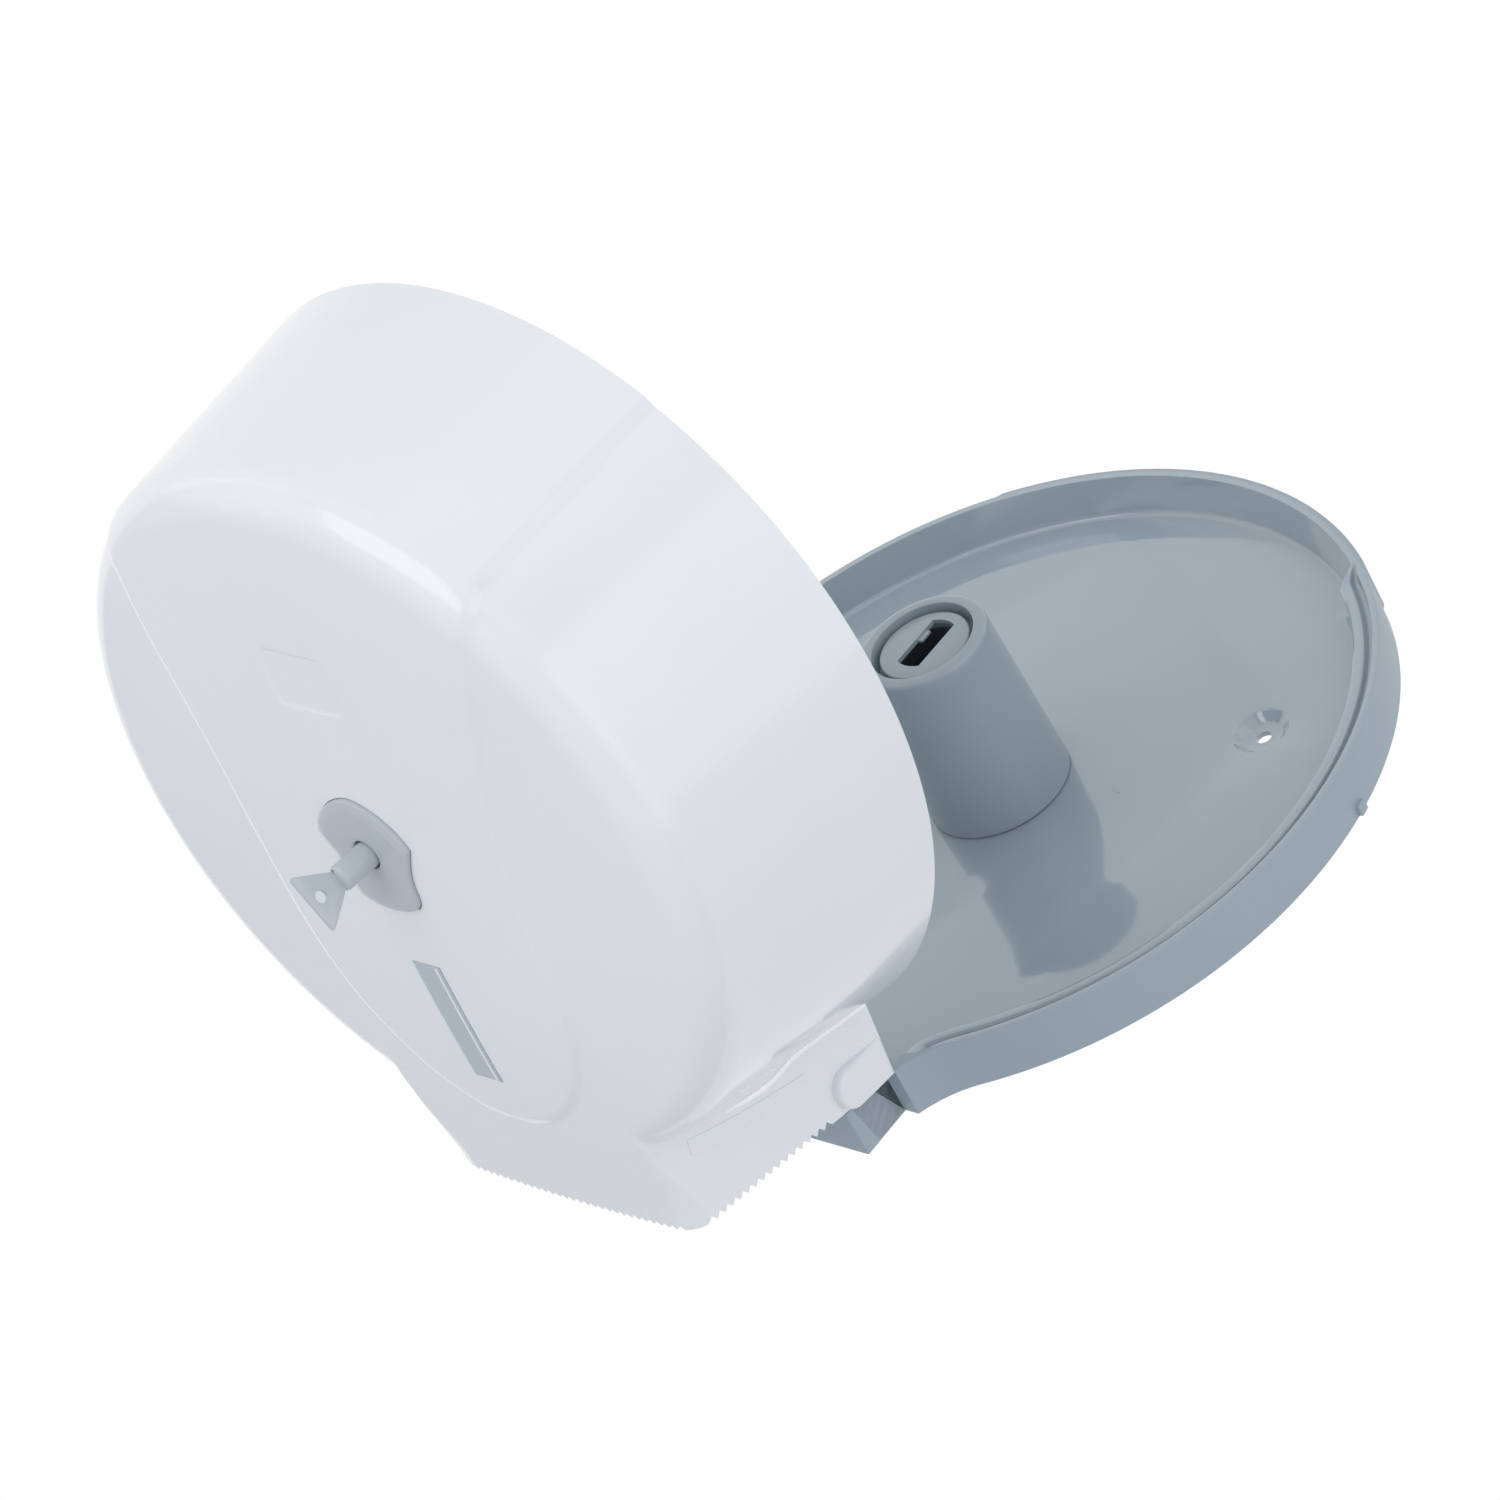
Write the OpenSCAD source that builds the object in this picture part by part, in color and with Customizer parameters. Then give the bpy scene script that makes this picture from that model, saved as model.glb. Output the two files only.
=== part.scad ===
// Lockable wall dispenser for a jumbo toilet roll, shown with its cover swung down for refilling.
// Millimetres. X points right, Y points into the wall, Z points up.
// The origin lies on the wall, on the axis of the roll. A depth is measured from the wall
// towards the room, so a depth d lies at y = -d. The cover, the lock and the key are drawn
// as they stand when the cover is shut, and opened() then swings them about the hinge.

/* [Back plate] */
// Outer radius of the round back plate
plate_r = 135; // [125:1:145]
// Depth of the front edge of the plate's rim
plate_rim_d = 19.2; // [16:0.2:24]
// Depth of the front surface of the plate's floor
floor_d = 5.1; // [4:0.1:7]
// Thickness of the plate's floor
floor_t = 2.5; // [1.8:0.1:3.5]
// Thickness of the outer wall of the rim
rim_wall = 2.7; // [2:0.1:3.5]
// Width of the groove between the rim's wall and its inner ridge
groove_w = 2.8; // [2:0.1:4]
// Depth of the bottom of that groove
groove_d = 12; // [9:0.5:14]
// Width of the flat top of the inner ridge
ridge_w = 5.5; // [3:0.5:8]
// Depth of the top of the inner ridge
ridge_d = 17.5; // [15:0.1:18.4]
// Width of the hollow behind the ridge
ridge_hollow_w = 5.6; // [3:0.1:6]
// Radius of the concave flare between the disc and the throat
flare_r = 40; // [30:1:50]
// Half width of the throat where the plate ends
throat_half_w = 64.4; // [62:0.1:68]
// Drop of the plate's lower edge below the roll axis
throat_drop = 127; // [124:0.5:132]
// Height at which the groove and ridge end above the plate's lower edge
ridge_end_rise = 11; // [6:0.5:16]
// Size of the two small clips on the rear edge of the plate
clip_size = 4; // [3:0.5:6]
// Distance that these clips stand out of the plate
clip_rise = 1.4; // [0.8:0.1:2]
// Angle of these clips below the horizontal
clip_angle = 11; // [5:1:20]

/* [Wall screws] */
// Diameter of the circle of the wall screw holes
screw_pcd = 180; // [170:1:190]
// Number of wall screw holes
screw_count = 3; // [3:1:4]
// Diameter of a wall screw hole
screw_hole_dia = 5.4; // [4.5:0.1:6]
// Mouth radius of the dished recess round a wall screw hole
screw_dish_r = 10; // [8:0.1:11]
// Bottom radius of the dished recess
screw_seat_r = 6.8; // [6:0.1:7.5]
// Depth of the bottom of the dished recess, from the wall
screw_seat_d = 1.8; // [1.2:0.1:2.4]
// Radius of the boss behind a wall screw hole
screw_boss_r = 12.5; // [12:0.1:14]

/* [Hinge] */
// Drop of the hinge axis below the throat of the plate
hinge_reach = 9.6; // [9:0.1:11]
// Depth of the hinge axis
hinge_d = 30.2; // [29:0.1:32]
// Half width of the foot that carries the hinge
foot_half_w = 59; // [55:0.5:60]
// Depth of the front face of the foot
foot_d = 18; // [15:0.5:18.5]
// Radius of the rounded hinge lugs
lug_r = 10; // [8:0.1:10]
// Drop of the underside of a lug's arm below the hinge axis
lug_arm_drop = 4.6; // [2:0.1:4.8]
// Width of a hinge lug along the axis
lug_w = 8; // [6:0.5:12]
// Diameter of the hinge pins
pin_dia = 6; // [4:0.1:8]
// Radial clearance of a pin in its lug
pin_fit = 0.05; // [0.02:0.01:0.09]
// Distance that a pin reaches into the ear of the cover
pin_grip = 3.6; // [2.5:0.1:4.5]
// Gap left at the stop when the cover hangs fully open
stop_gap = 0.12; // [0.08:0.01:0.3]
// Gap between the foot and the cover's ears on each side
ear_gap = 0.3; // [0.2:0.05:0.6]

/* [Spindle] */
// Outer radius of the fixed post
post_r = 14; // [13.6:0.1:15]
// Bore radius of the hollow post
post_bore_r = 11.8; // [11:0.1:12]
// Depth of the post's solid foot
post_foot_d = 16; // [14:0.5:20]
// Depth of the post's front end
post_d = 63.8; // [60:0.2:66]
// Thickness of the keeper disc on the end of the post
keeper_t = 4; // [3:0.1:5]
// Radius of the keeper disc
keeper_r = 15.5; // [15:0.1:16.5]
// Width of the keeper slot
slot_w = 9.5; // [8:0.1:10]
// Radius of the round ends of the slot
slot_r = 10.7; // [10.4:0.1:11]
// Height of the slot's centre over the roll axis
slot_rise = 0.9; // [0:0.1:1]
// Distance that the tooth stands into the slot
slot_tooth = 1.8; // [1:0.1:2]
// Height of the tooth
tooth_l = 5.3; // [4:0.1:6]
// Height of the tooth's lower end over the slot's centre
tooth_rise = 0.7; // [0:0.1:2]
// Depth of the tooth under the face of the disc
tooth_sink = 0.7; // [0.4:0.1:1.5]
// Base radius of the conical roll sleeve
sleeve_base_r = 24.4; // [23:0.1:26]
// Tip radius of the roll sleeve
sleeve_tip_r = 21.8; // [21:0.1:22.8]
// Wall thickness of the roll sleeve
sleeve_wall = 2.6; // [2:0.1:3.5]
// Distance that the sleeve's tip stands in front of the keeper disc
sleeve_lip = 2; // [1:0.1:3]
// Radius of the cup in the sleeve's tip
sleeve_cup_r = 17.1; // [16.8:0.1:18]
// Rounding of the sleeve's tip
sleeve_round = 1.6; // [0.8:0.1:1.8]
// Radial running clearance between the sleeve and the post
sleeve_fit = 0.05; // [0.02:0.01:0.09]
// End play of the sleeve between floor and keeper
sleeve_play = 0.3; // [0.2:0.05:0.8]
// Length of each of the sleeve's two bearing collars
collar_l = 4; // [3:0.5:8]

/* [Post screws] */
// Radius of the circle of the three screws that hold the post
post_screw_ring = 8; // [7:0.1:9]
// Shank radius of a small self-tapping screw
tapper_r = 1.5; // [1.2:0.1:1.8]
// Head radius of a small self-tapping screw
tapper_head_r = 2.8; // [2.6:0.1:3]
// Head height of a small self-tapping screw
tapper_head_t = 2; // [1.6:0.1:2.2]
// Grip of a post screw in the post's foot
post_screw_grip = 8; // [5:0.5:8.5]
// Clearance round a loose screw or a dropped-in piece
loose = 0.2; // [0.1:0.05:0.3]

/* [Cover] */
// Distance that the cover's rim lies inside the plate's rim
rim_inset = 0.3; // [0:0.1:1]
// Gap between the cover's rim and the plate's rim when shut
shut_gap = 0.3; // [0.2:0.05:0.8]
// Wall thickness of the cover
cover_wall = 2.7; // [2:0.1:3.2]
// Draft angle of the cover's side wall
side_draft = 7; // [5:0.5:9]
// Depth of the domed front at its middle
dome_d = 115.9; // [108:0.1:124]
// Radius of the domed front
dome_r = 900; // [800:10:1400]
// Radius of the soft edge between side wall and front
edge_r = 14; // [8:0.5:18]
// Height that the broad raised band stands above the cover
band_rise = 1.3; // [0.6:0.1:2]
// Half angle of the raised band where it crosses the top
band_angle = 36.5; // [30:0.1:40]
// Half width of the cover's throat at its front
throat_front_half_w = 53.9; // [50:0.1:58]
// Depth at which that front half width is reached
throat_front_d = 104; // [100:0.1:108]
// Drop of the cover's lower edge below the hinge axis
mouth_reach = 10.4; // [10.2:0.1:13]

/* [Ears and teeth] */
// Half width across the outer faces of the two ears
ear_half_w = 65.4; // [65:0.1:67]
// Depth of the front end of an ear
ear_front_d = 42; // [41:0.5:46]
// Rounding of an ear's front corners
ear_round = 7; // [4:0.5:9]
// Pitch of the tear-off teeth
tooth_pitch = 3.2; // [2.4:0.1:5]
// Height of the tear-off teeth
tooth_h = 2; // [1:0.1:2.4]
// Depth at which the side teeth begin
teeth_start_d = 46; // [43:1:60]

/* [Panel and window] */
// Half width of the raised panel at its upper corners
panel_top_w = 78.6; // [74:0.1:82]
// Height of those upper corners above the roll axis
panel_top_z = 97.3; // [94:0.1:100]
// Half width of the raised panel at its waist
panel_waist_w = 57.9; // [54:0.1:62]
// Drop of the waist below the roll axis
panel_waist_drop = 23; // [15:1:30]
// Half width of the raised panel near its foot
panel_low_w = 48.5; // [44:0.1:52]
// Drop of that place below the roll axis
panel_low_drop = 71; // [66:1:76]
// Drop of the panel's rounded foot below the roll axis
panel_foot_drop = 108.5; // [104:0.5:112]
// Width of the level window
window_w = 12.5; // [8:0.5:16]
// Drop of the window's upper end below the roll axis
window_top_drop = 43.5; // [40:0.5:48]
// Drop of the window's lower end below the roll axis
window_low_drop = 91; // [84:0.5:95]
// Distance that the pane stands proud of the panel
pane_proud = 0.4; // [0.2:0.1:1]
// Width of the ledge that holds the pane behind the cover
pane_ledge = 2; // [1.5:0.1:3]
// Thickness of that ledge
pane_ledge_t = 1.5; // [1:0.1:2]
// Width of the plain recessed square above the lock
tile_w = 29; // [20:0.5:32]
// Height of the recessed square
tile_h = 20; // [16:0.5:26]
// Height of the centre of the recessed square above the roll axis
tile_z = 61; // [56:0.5:68]
// Depth of the recessed square
tile_depth = 0.5; // [0.2:0.1:0.8]
// Corner radius of the recessed square
tile_round = 3; // [1:0.5:5]

/* [Lock] */
// Half width of the lock's shield plate at its shoulders
shield_w = 20; // [18:0.1:21]
// Height of the top of the shield plate above the lock axis
shield_top = 19.5; // [18:0.1:22]
// Drop of the foot of the shield plate below the lock axis
shield_foot = 21.3; // [19:0.1:22]
// Distance that the shield plate stands proud of the panel
shield_proud = 1.9; // [1:0.1:3]
// Distance that the shield plate is let into the panel
shield_inset = 1.6; // [1:0.1:2]
// Radius of the flat seat inside the cover for the lock housing
seat_r = 24; // [23:0.5:28]
// Distance of that seat behind the middle of the domed front
seat_sink = 4.3; // [3.3:0.1:6.8]
// Radius of the flange of the lock housing
flange_r = 23; // [22:0.5:24]
// Thickness of the flange of the lock housing
flange_t = 3; // [2:0.1:4]
// Outer radius of the tube of the lock housing
housing_r = 11.5; // [11:0.1:14]
// Depth of the rear end of the lock housing
housing_end_d = 76; // [74:0.5:84]
// Distance of the housing's two screws from the lock axis
housing_screw_x = 18.5; // [17:0.1:19]
// Grip of a housing screw in the cover
housing_screw_grip = 3.2; // [2.5:0.1:3.6]
// Radius of the turning lock barrel
barrel_r = 8.5; // [8:0.1:9]
// Radius of the barrel's head under the shield plate
barrel_head_r = 9.8; // [9.5:0.1:10]
// Thickness of the barrel's floor between the key and the latch shaft
barrel_web = 2.3; // [1.5:0.1:4]
// Radial running clearance of the barrel and latch shaft
lock_fit = 0.05; // [0.02:0.01:0.09]
// Radius of the latch shaft
latch_r = 3; // [2.6:0.1:3.2]
// Length of the latch shaft inside the barrel
latch_grip = 5; // [3:0.5:6]
// Length of the latch bar
bar_l = 13.6; // [12:0.1:13.8]
// Width of the latch bar
bar_w = 4.6; // [4:0.1:5]
// Thickness of the latch bar
bar_t = 5.5; // [4:0.1:6]
// Gap between the shut latch bar and the keeper disc
bar_gap = 0.8; // [0.5:0.1:1.5]
// Radius of the retaining clip on the latch shaft
clip_r = 6.5; // [5.5:0.1:8]
// Thickness of the retaining clip
clip_t = 1.2; // [0.8:0.1:1.6]

/* [Key] */
// Radius of the key's round stem
stem_r = 4.4; // [4:0.1:4.6]
// Length of the stem in front of the shield plate
stem_l = 12.5; // [8:0.5:14]
// Width across the key's square driver
driver_w = 5.8; // [5:0.1:6]
// Length of the key's square driver
driver_l = 9; // [7:0.5:10]
// Depth of the round part of the stem inside the lock
stem_in = 5; // [3:0.5:6]
// Width of the key's bow at its outer end
bow_w = 21.5; // [18:0.5:24]
// Length of the key's bow
bow_l = 12.5; // [10:0.5:16]
// Thickness of the key's bow
bow_t = 2.6; // [2:0.1:4]
// Radius of the hole in the bow
bow_hole_r = 2; // [1.5:0.1:2.5]
// Lean of the bow from upright, its top towards -X
bow_lean = 31; // [0:1:45]

/* [Hidden] */

past = 1;              // overshoot of a cutting shape
hair = 0.01;           // overshoot where the shape mustn't change
round_fn = 144;        // segments of a large circle
small_fn = 48;         // segments of a bore or a pin
dome_fn = 900;         // segments of the dome's very large circle
reach = 2 * plate_r;   // longer than anything that is cut across

ridge_out = rim_wall + groove_w;
ridge_in = ridge_out + ridge_w;
hub_r = post_r + 6;
slope_w = 1.5;         // extra width of the flat rim along the top
hollow_clear = 1.6;    // degrees of solid rim between the rear hollow and the raised band
hinge_drop = throat_drop + hinge_reach;
cover_drop = hinge_drop + mouth_reach;
cover_r = plate_r - rim_inset;
cover_d = plate_rim_d + shut_gap;
seat_d = dome_d - seat_sink;
draft_tan = tan(side_draft);
throat_tan = (throat_half_w - throat_front_half_w) / (throat_front_d - cover_d);
wall_reach = cover_r + draft_tan * cover_d;
dome_z = dome_d - dome_r;
panel_d = dome_d + band_rise;
shield_back_d = panel_d - shield_inset;
shield_face_d = panel_d + shield_proud;
head_gap = 0.2;        // play under and over the barrel's head
bar_front_d = post_d - bar_gap;
bar_back_d = bar_front_d - bar_t;
stem_tip_d = shield_back_d - stem_in;
driver_tip_d = stem_tip_d - driver_l;
barrel_end_d = driver_tip_d - head_gap - barrel_web - latch_grip;
bow_d = shield_face_d + stem_l;
bow_overlap = 3;       // length of stem that the bow wraps
clip_groove_r = latch_r - 0.6;
dome_lap = 0.1;        // overshoot where the soft edge runs into the dome
socket_gap = 0.1;      // clearance round the key's square driver
seam_gap = 0.05;       // gap between a glued-in piece and its seat

// Centre of the right-hand flare: it touches the disc and passes through the throat's corner.
corner_dist = norm([throat_half_w, throat_drop]);
centre_dist = plate_r + flare_r;
corner_angle = atan2(throat_drop, throat_half_w);
flare_turn = acos((corner_dist ^ 2 + centre_dist ^ 2 - flare_r ^ 2) / (2 * corner_dist * centre_dist));
flare_angle = corner_angle - flare_turn;
flare_x = centre_dist * cos(flare_angle);
flare_z = -centre_dist * sin(flare_angle);

// The open cover rests when the rear face of its ears meets the plate's lower front corner.
stop_y = hinge_d - plate_rim_d;
stop_z = hinge_drop - throat_drop;
open_angle = atan2(stop_z, stop_y) + acos((hinge_d - cover_d + stop_gap) / norm([stop_y, stop_z]));

// Centre of the soft edge: one edge radius inside both the side wall and the dome.
edge_m = wall_reach - edge_r / cos(side_draft);
edge_q = dome_r - edge_r;
edge_b = edge_m * draft_tan + dome_z;
edge_a = 1 + draft_tan ^ 2;
edge_d = (edge_b + sqrt(edge_b ^ 2 - edge_a * (edge_m ^ 2 + dome_z ^ 2 - edge_q ^ 2))) / edge_a;
edge_c = edge_m - draft_tan * edge_d;

// A point of a cubic curve through a and d with handles b and c.
function curve_point(a, b, c, d, t) =
    (1 - t) ^ 3 * a + 3 * (1 - t) ^ 2 * t * b + 3 * (1 - t) * t ^ 2 * c + t ^ 3 * d;
function curve(a, b, c, d, steps) = [for (i = [0 : steps - 1]) curve_point(a, b, c, d, i / steps)];
function flip(points) = [for (i = [len(points) - 1 : -1 : 0]) [-points[i][0], points[i][1]]];

// Half width of the cover's throat at a depth.
function throat_w(d) = throat_half_w - (d - cover_d) * throat_tan;

// Stands a front view up and gives it a depth from d0 to d1.
module front(d0, d1) {
    rotate([90, 0, 0]) translate([0, 0, d0]) linear_extrude(d1 - d0) children();
}

// Extrudes a side view, drawn as depth and height, from x0 to x1.
module side(x0, x1) {
    translate([x0, 0, 0]) rotate([90, 0, 90]) linear_extrude(x1 - x0) mirror([1, 0]) children();
}

// Turns a profile, drawn as radius and depth, about the roll axis.
module turned(fn = round_fn) {
    rotate([90, 0, 0]) rotate_extrude($fn = fn) children();
}

// A rod along the roll axis direction at a front-view place.
module rod(x, z, r, d0, d1, fn = small_fn) {
    front(d0, d1) translate([x, z]) circle(r = r, $fn = fn);
}

// A tube or ring on the roll axis.
module ring(r_in, r_out, d0, d1, fn = small_fn) {
    difference() {
        rod(0, 0, r_out, d0, d1, fn);
        rod(0, 0, r_in, d0 - past, d1 + past, fn);
    }
}

// Swings a shut piece out about the hinge to where the cover hangs open.
module opened() {
    translate([0, -hinge_d, -hinge_drop])
        rotate([open_angle, 0, 0])
            translate([0, hinge_d, hinge_drop])
                children();
}

// Outline of the back plate, moved inwards by an inset.
module plate_outline(inset) {
    steps = 12;
    r = plate_r - inset;
    low = -throat_drop + inset;
    flare = flare_r + inset;
    start = 180 - flare_angle;
    finish = 180 - asin(min(1, (low - flare_z) / flare));
    side_points = [for (i = [1 : steps])
        let (a = start + (finish - start) * i / steps)
        [flare_x + flare * cos(a), flare_z + flare * sin(a)]];
    inner_pull = 0.99;
    root = [r * inner_pull * cos(flare_angle), -r * inner_pull * sin(flare_angle)];
    right = concat([root], side_points);
    union() {
        circle(r = r, $fn = round_fn);
        polygon(concat([[0, 0]], right, flip(right)));
    }
}

// The strip of the plate between two insets.
module plate_strip(inset_out, inset_in) {
    difference() {
        plate_outline(inset_out);
        plate_outline(inset_in);
    }
}

// The wedge of the top that the raised band crosses, widened on each side by an angle.
module band_wedge(wider = 0) {
    half = band_angle + wider;
    polygon([[0, 0], [reach * sin(half), reach * cos(half)], [-reach * sin(half), reach * cos(half)]]);
}

// Everything above the height at which ridge and groove end.
module ridge_zone() {
    translate([-reach, -throat_drop + ridge_end_rise]) square([2 * reach, 2 * reach]);
}

module rim_body() {
    front(0, plate_rim_d) plate_strip(0, rim_wall);
    difference() {
        front(0, groove_d) intersection() {
            plate_strip(0, ridge_in);
            ridge_zone();
        }
        front(floor_d, groove_d + past) intersection() {
            circle(r = plate_r - ridge_out, $fn = round_fn);
            band_wedge();
        }
    }
    difference() {
        front(0, ridge_d) intersection() {
            plate_strip(ridge_out, ridge_in);
            ridge_zone();
        }
        front(floor_d, ridge_d + past) band_wedge();
    }
    // Flat broad rim along the top, standing out by the rise of the band
    front(0, plate_rim_d) intersection() {
        difference() {
            circle(r = plate_r + band_rise, $fn = round_fn);
            circle(r = plate_r - ridge_out - slope_w, $fn = round_fn);
        }
        band_wedge();
    }
}

// Side view of one hinge lug.
module lug_view() {
    translate([hinge_d, -hinge_drop]) circle(r = lug_r, $fn = small_fn * 2);
    translate([0, -hinge_drop - lug_arm_drop]) square([hinge_d, lug_r + lug_arm_drop]);
}

module foot_body() {
    low = hinge_drop + lug_r;
    difference() {
        translate([-foot_half_w, -foot_d, -low])
            cube([2 * foot_half_w, foot_d, low - throat_drop + rim_wall]);
        translate([-foot_half_w + floor_t, -foot_d + floor_t, -low + floor_t])
            cube([2 * (foot_half_w - floor_t), foot_d, low - throat_drop - 2 * floor_t]);
    }
    side(foot_half_w - lug_w, foot_half_w) lug_view();
    side(-foot_half_w, lug_w - foot_half_w) lug_view();
}

module screw_places() {
    for (i = [0 : screw_count - 1]) {
        rotate([0, -90 - i * 360 / screw_count, 0]) translate([-screw_pcd / 2, 0, 0]) children();
    }
}

module back_plate() color([0.62, 0.67, 0.73]) {
    difference() {
        union() {
            front(floor_d - floor_t, floor_d) plate_outline(0);
            rim_body();
            rod(0, 0, hub_r, 0, floor_d, round_fn);
            screw_places() rod(0, 0, screw_boss_r, 0, floor_d);
            foot_body();
            for (s = [-1, 1]) {
                front(0, clip_size) rotate(-90 - s * (90 - clip_angle))
                    translate([plate_r - rim_wall, -clip_size / 2]) square([rim_wall + clip_rise, clip_size]);
            }
        }
        front(-past, groove_d - floor_t) difference() {
            intersection() {
                plate_strip(rim_wall, rim_wall + ridge_hollow_w);
                ridge_zone();
            }
            band_wedge(hollow_clear);
        }
        screw_places() {
            rod(0, 0, screw_hole_dia / 2, -past, floor_d);
            rotate([90, 0, 0]) translate([0, 0, screw_seat_d])
                cylinder(r1 = screw_seat_r, r2 = screw_dish_r, h = floor_d - screw_seat_d + hair, $fn = small_fn);
        }
        for (i = [0 : 2]) rotate([0, i * 120, 0]) {
            rod(post_screw_ring, 0, tapper_head_r + loose, -past, floor_d - floor_t);
            rod(post_screw_ring, 0, tapper_r + loose, -past, floor_d + past);
        }
        translate([-reach / 2, -hinge_d, -hinge_drop]) rotate([0, 90, 0])
            cylinder(r = pin_dia / 2 + pin_fit, h = reach, $fn = small_fn);
    }
}

module spindle_post() color([0.60, 0.65, 0.70]) difference() {
    rod(0, 0, post_r, floor_d, post_d, round_fn);
    rod(0, 0, post_bore_r, post_foot_d, post_d + past, round_fn);
    for (i = [0 : 2]) rotate([0, i * 120, 0])
        rod(post_screw_ring, 0, tapper_r, floor_d - past, floor_d + post_screw_grip + loose);
}

// Front view of the keeper slot: a band with round ends.
module keeper_slot() intersection() {
    translate([0, slot_rise]) circle(r = slot_r, $fn = round_fn);
    square([slot_w, reach], center = true);
}

module keeper_disc() color([0.66, 0.70, 0.75]) difference() {
    rod(0, 0, keeper_r, post_d, post_d + keeper_t, round_fn);
    front(post_d - past, post_d + keeper_t - tooth_sink) difference() {
        keeper_slot();
        translate([-slot_w, slot_rise + tooth_rise]) square([slot_w / 2 + slot_tooth, tooth_l]);
    }
    front(post_d + keeper_t - tooth_sink, post_d + keeper_t + past) keeper_slot();
}

module post_screw(i) color([0.75, 0.76, 0.78]) rotate([0, i * 120, 0]) {
    rod(post_screw_ring, 0, tapper_head_r, floor_d - floor_t - tapper_head_t, floor_d - floor_t);
    rod(post_screw_ring, 0, tapper_r, floor_d - floor_t - tapper_head_t, floor_d + post_screw_grip);
}

module roll_sleeve() color([0.63, 0.68, 0.73]) {
    base_d = floor_d + sleeve_play;
    tip_d = post_d + keeper_t + sleeve_lip;
    cup_d = post_d - sleeve_play;
    slope = (sleeve_base_r - sleeve_tip_r) / (tip_d - base_d);
    turned() difference() {
        union() {
            difference() {
                polygon([[0, base_d], [sleeve_base_r, base_d], [sleeve_tip_r, tip_d], [0, tip_d]]);
                translate([sleeve_tip_r - sleeve_round, tip_d - sleeve_round]) square(reach);
            }
            translate([sleeve_tip_r - sleeve_round, tip_d - sleeve_round])
                circle(r = sleeve_round, $fn = small_fn);
        }
        translate([-reach, 0]) square([reach + post_r + sleeve_fit, reach]);
        translate([0, cup_d]) square([sleeve_cup_r, reach]);
        polygon([[0, base_d + collar_l], [sleeve_base_r - sleeve_wall - slope * collar_l, base_d + collar_l],
            [sleeve_tip_r - sleeve_wall + slope * (tip_d - cup_d + collar_l), cup_d - collar_l],
            [0, cup_d - collar_l]]);
    }
}

// Half section of the cover's round body, grown outwards by rise.
module cover_section(rise, d0) {
    steps = 8;
    wall_r0 = wall_reach + rise / cos(side_draft) - draft_tan * d0;
    far_d = dome_d + 2 * edge_r;
    turn = atan2(edge_d - dome_z, edge_c) - side_draft;
    edge_points = [for (i = [0 : steps])
        let (a = side_draft + turn * i / steps, r = edge_r + rise + (i == steps ? dome_lap : 0))
        [edge_c + r * cos(a), edge_d + r * sin(a)]];
    intersection() {
        translate([0, dome_z]) circle(r = dome_r + rise, $fn = dome_fn);
        polygon(concat([[0, d0], [wall_r0, d0]], edge_points, [[edge_c - edge_r, far_d], [0, far_d]]));
    }
}

// The space under the dome, out to where the throat ends.
module dome_space(rise) {
    turned() intersection() {
        translate([0, dome_z]) circle(r = dome_r + rise, $fn = dome_fn);
        square([cover_drop + throat_half_w, 2 * dome_d]);
    }
}

// The throat that hangs below the round body, drawn in by an inset.
module throat_body(inset, drop, d0) {
    far_d = dome_d + past;
    intersection() {
        translate([0, 0, -drop]) linear_extrude(drop - throat_drop / 2) polygon([
            [-throat_w(d0) + inset, -d0], [throat_w(d0) - inset, -d0],
            [throat_w(far_d) - inset, -far_d], [-throat_w(far_d) + inset, -far_d]]);
        dome_space(-inset);
    }
}

// Outline of the raised band: a tapering panel on the front that widens over the top.
module panel_outline() {
    top = [panel_top_w, panel_top_z];
    waist = [panel_waist_w, -panel_waist_drop];
    low = [panel_low_w, -panel_low_drop];
    foot = [0, -panel_foot_drop];
    top_pull = (waist - top) * 0.27;
    waist_pull = [-panel_low_w * 0.02, -panel_low_drop * 0.23];
    low_pull = [-panel_low_w * 0.13, -panel_low_drop * 0.27];
    foot_pull = [panel_low_w * 0.35, 0];
    side_points = concat(
        curve(top, top + top_pull, waist - 2.3 * waist_pull, waist, 8),
        curve(waist, waist + waist_pull, low - 0.7 * low_pull, low, 4),
        curve(low, low + low_pull, foot + foot_pull, foot, 8));
    rim = [reach * sin(band_angle), reach * cos(band_angle)];
    polygon(concat([rim], side_points, [foot], flip(side_points), [[-rim[0], rim[1]]]));
}

// Side view of an ear.
module ear_view() {
    lug_low = -cover_drop;
    lug_high = -throat_drop;
    hull_d = ear_front_d - ear_round;
    translate([cover_d, lug_low]) square([hull_d - cover_d, lug_high - lug_low]);
    translate([cover_d, lug_low + ear_round])
        square([ear_front_d - cover_d, lug_high - lug_low - 2 * ear_round]);
    for (z = [lug_low + ear_round, lug_high - ear_round])
        translate([hull_d, z]) circle(r = ear_round, $fn = small_fn);
}

// A row of notches along one edge.
module notches(from, to) {
    count = floor((to - from) / tooth_pitch);
    points = [for (i = [0 : count - 1]) each
        [[from + i * tooth_pitch, 0], [from + (i + 0.5) * tooth_pitch, tooth_h]]];
    polygon(concat([[from, -tooth_h]], points, [[from + count * tooth_pitch, 0],
        [from + count * tooth_pitch, -tooth_h]]));
}

module rounded_tile(w, h, r) {
    square([w, h - 2 * r], center = true);
    square([w - 2 * r, h], center = true);
    for (sx = [-1, 1], sz = [-1, 1])
        translate([sx * (w / 2 - r), sz * (h / 2 - r)]) circle(r = r, $fn = small_fn);
}

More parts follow.
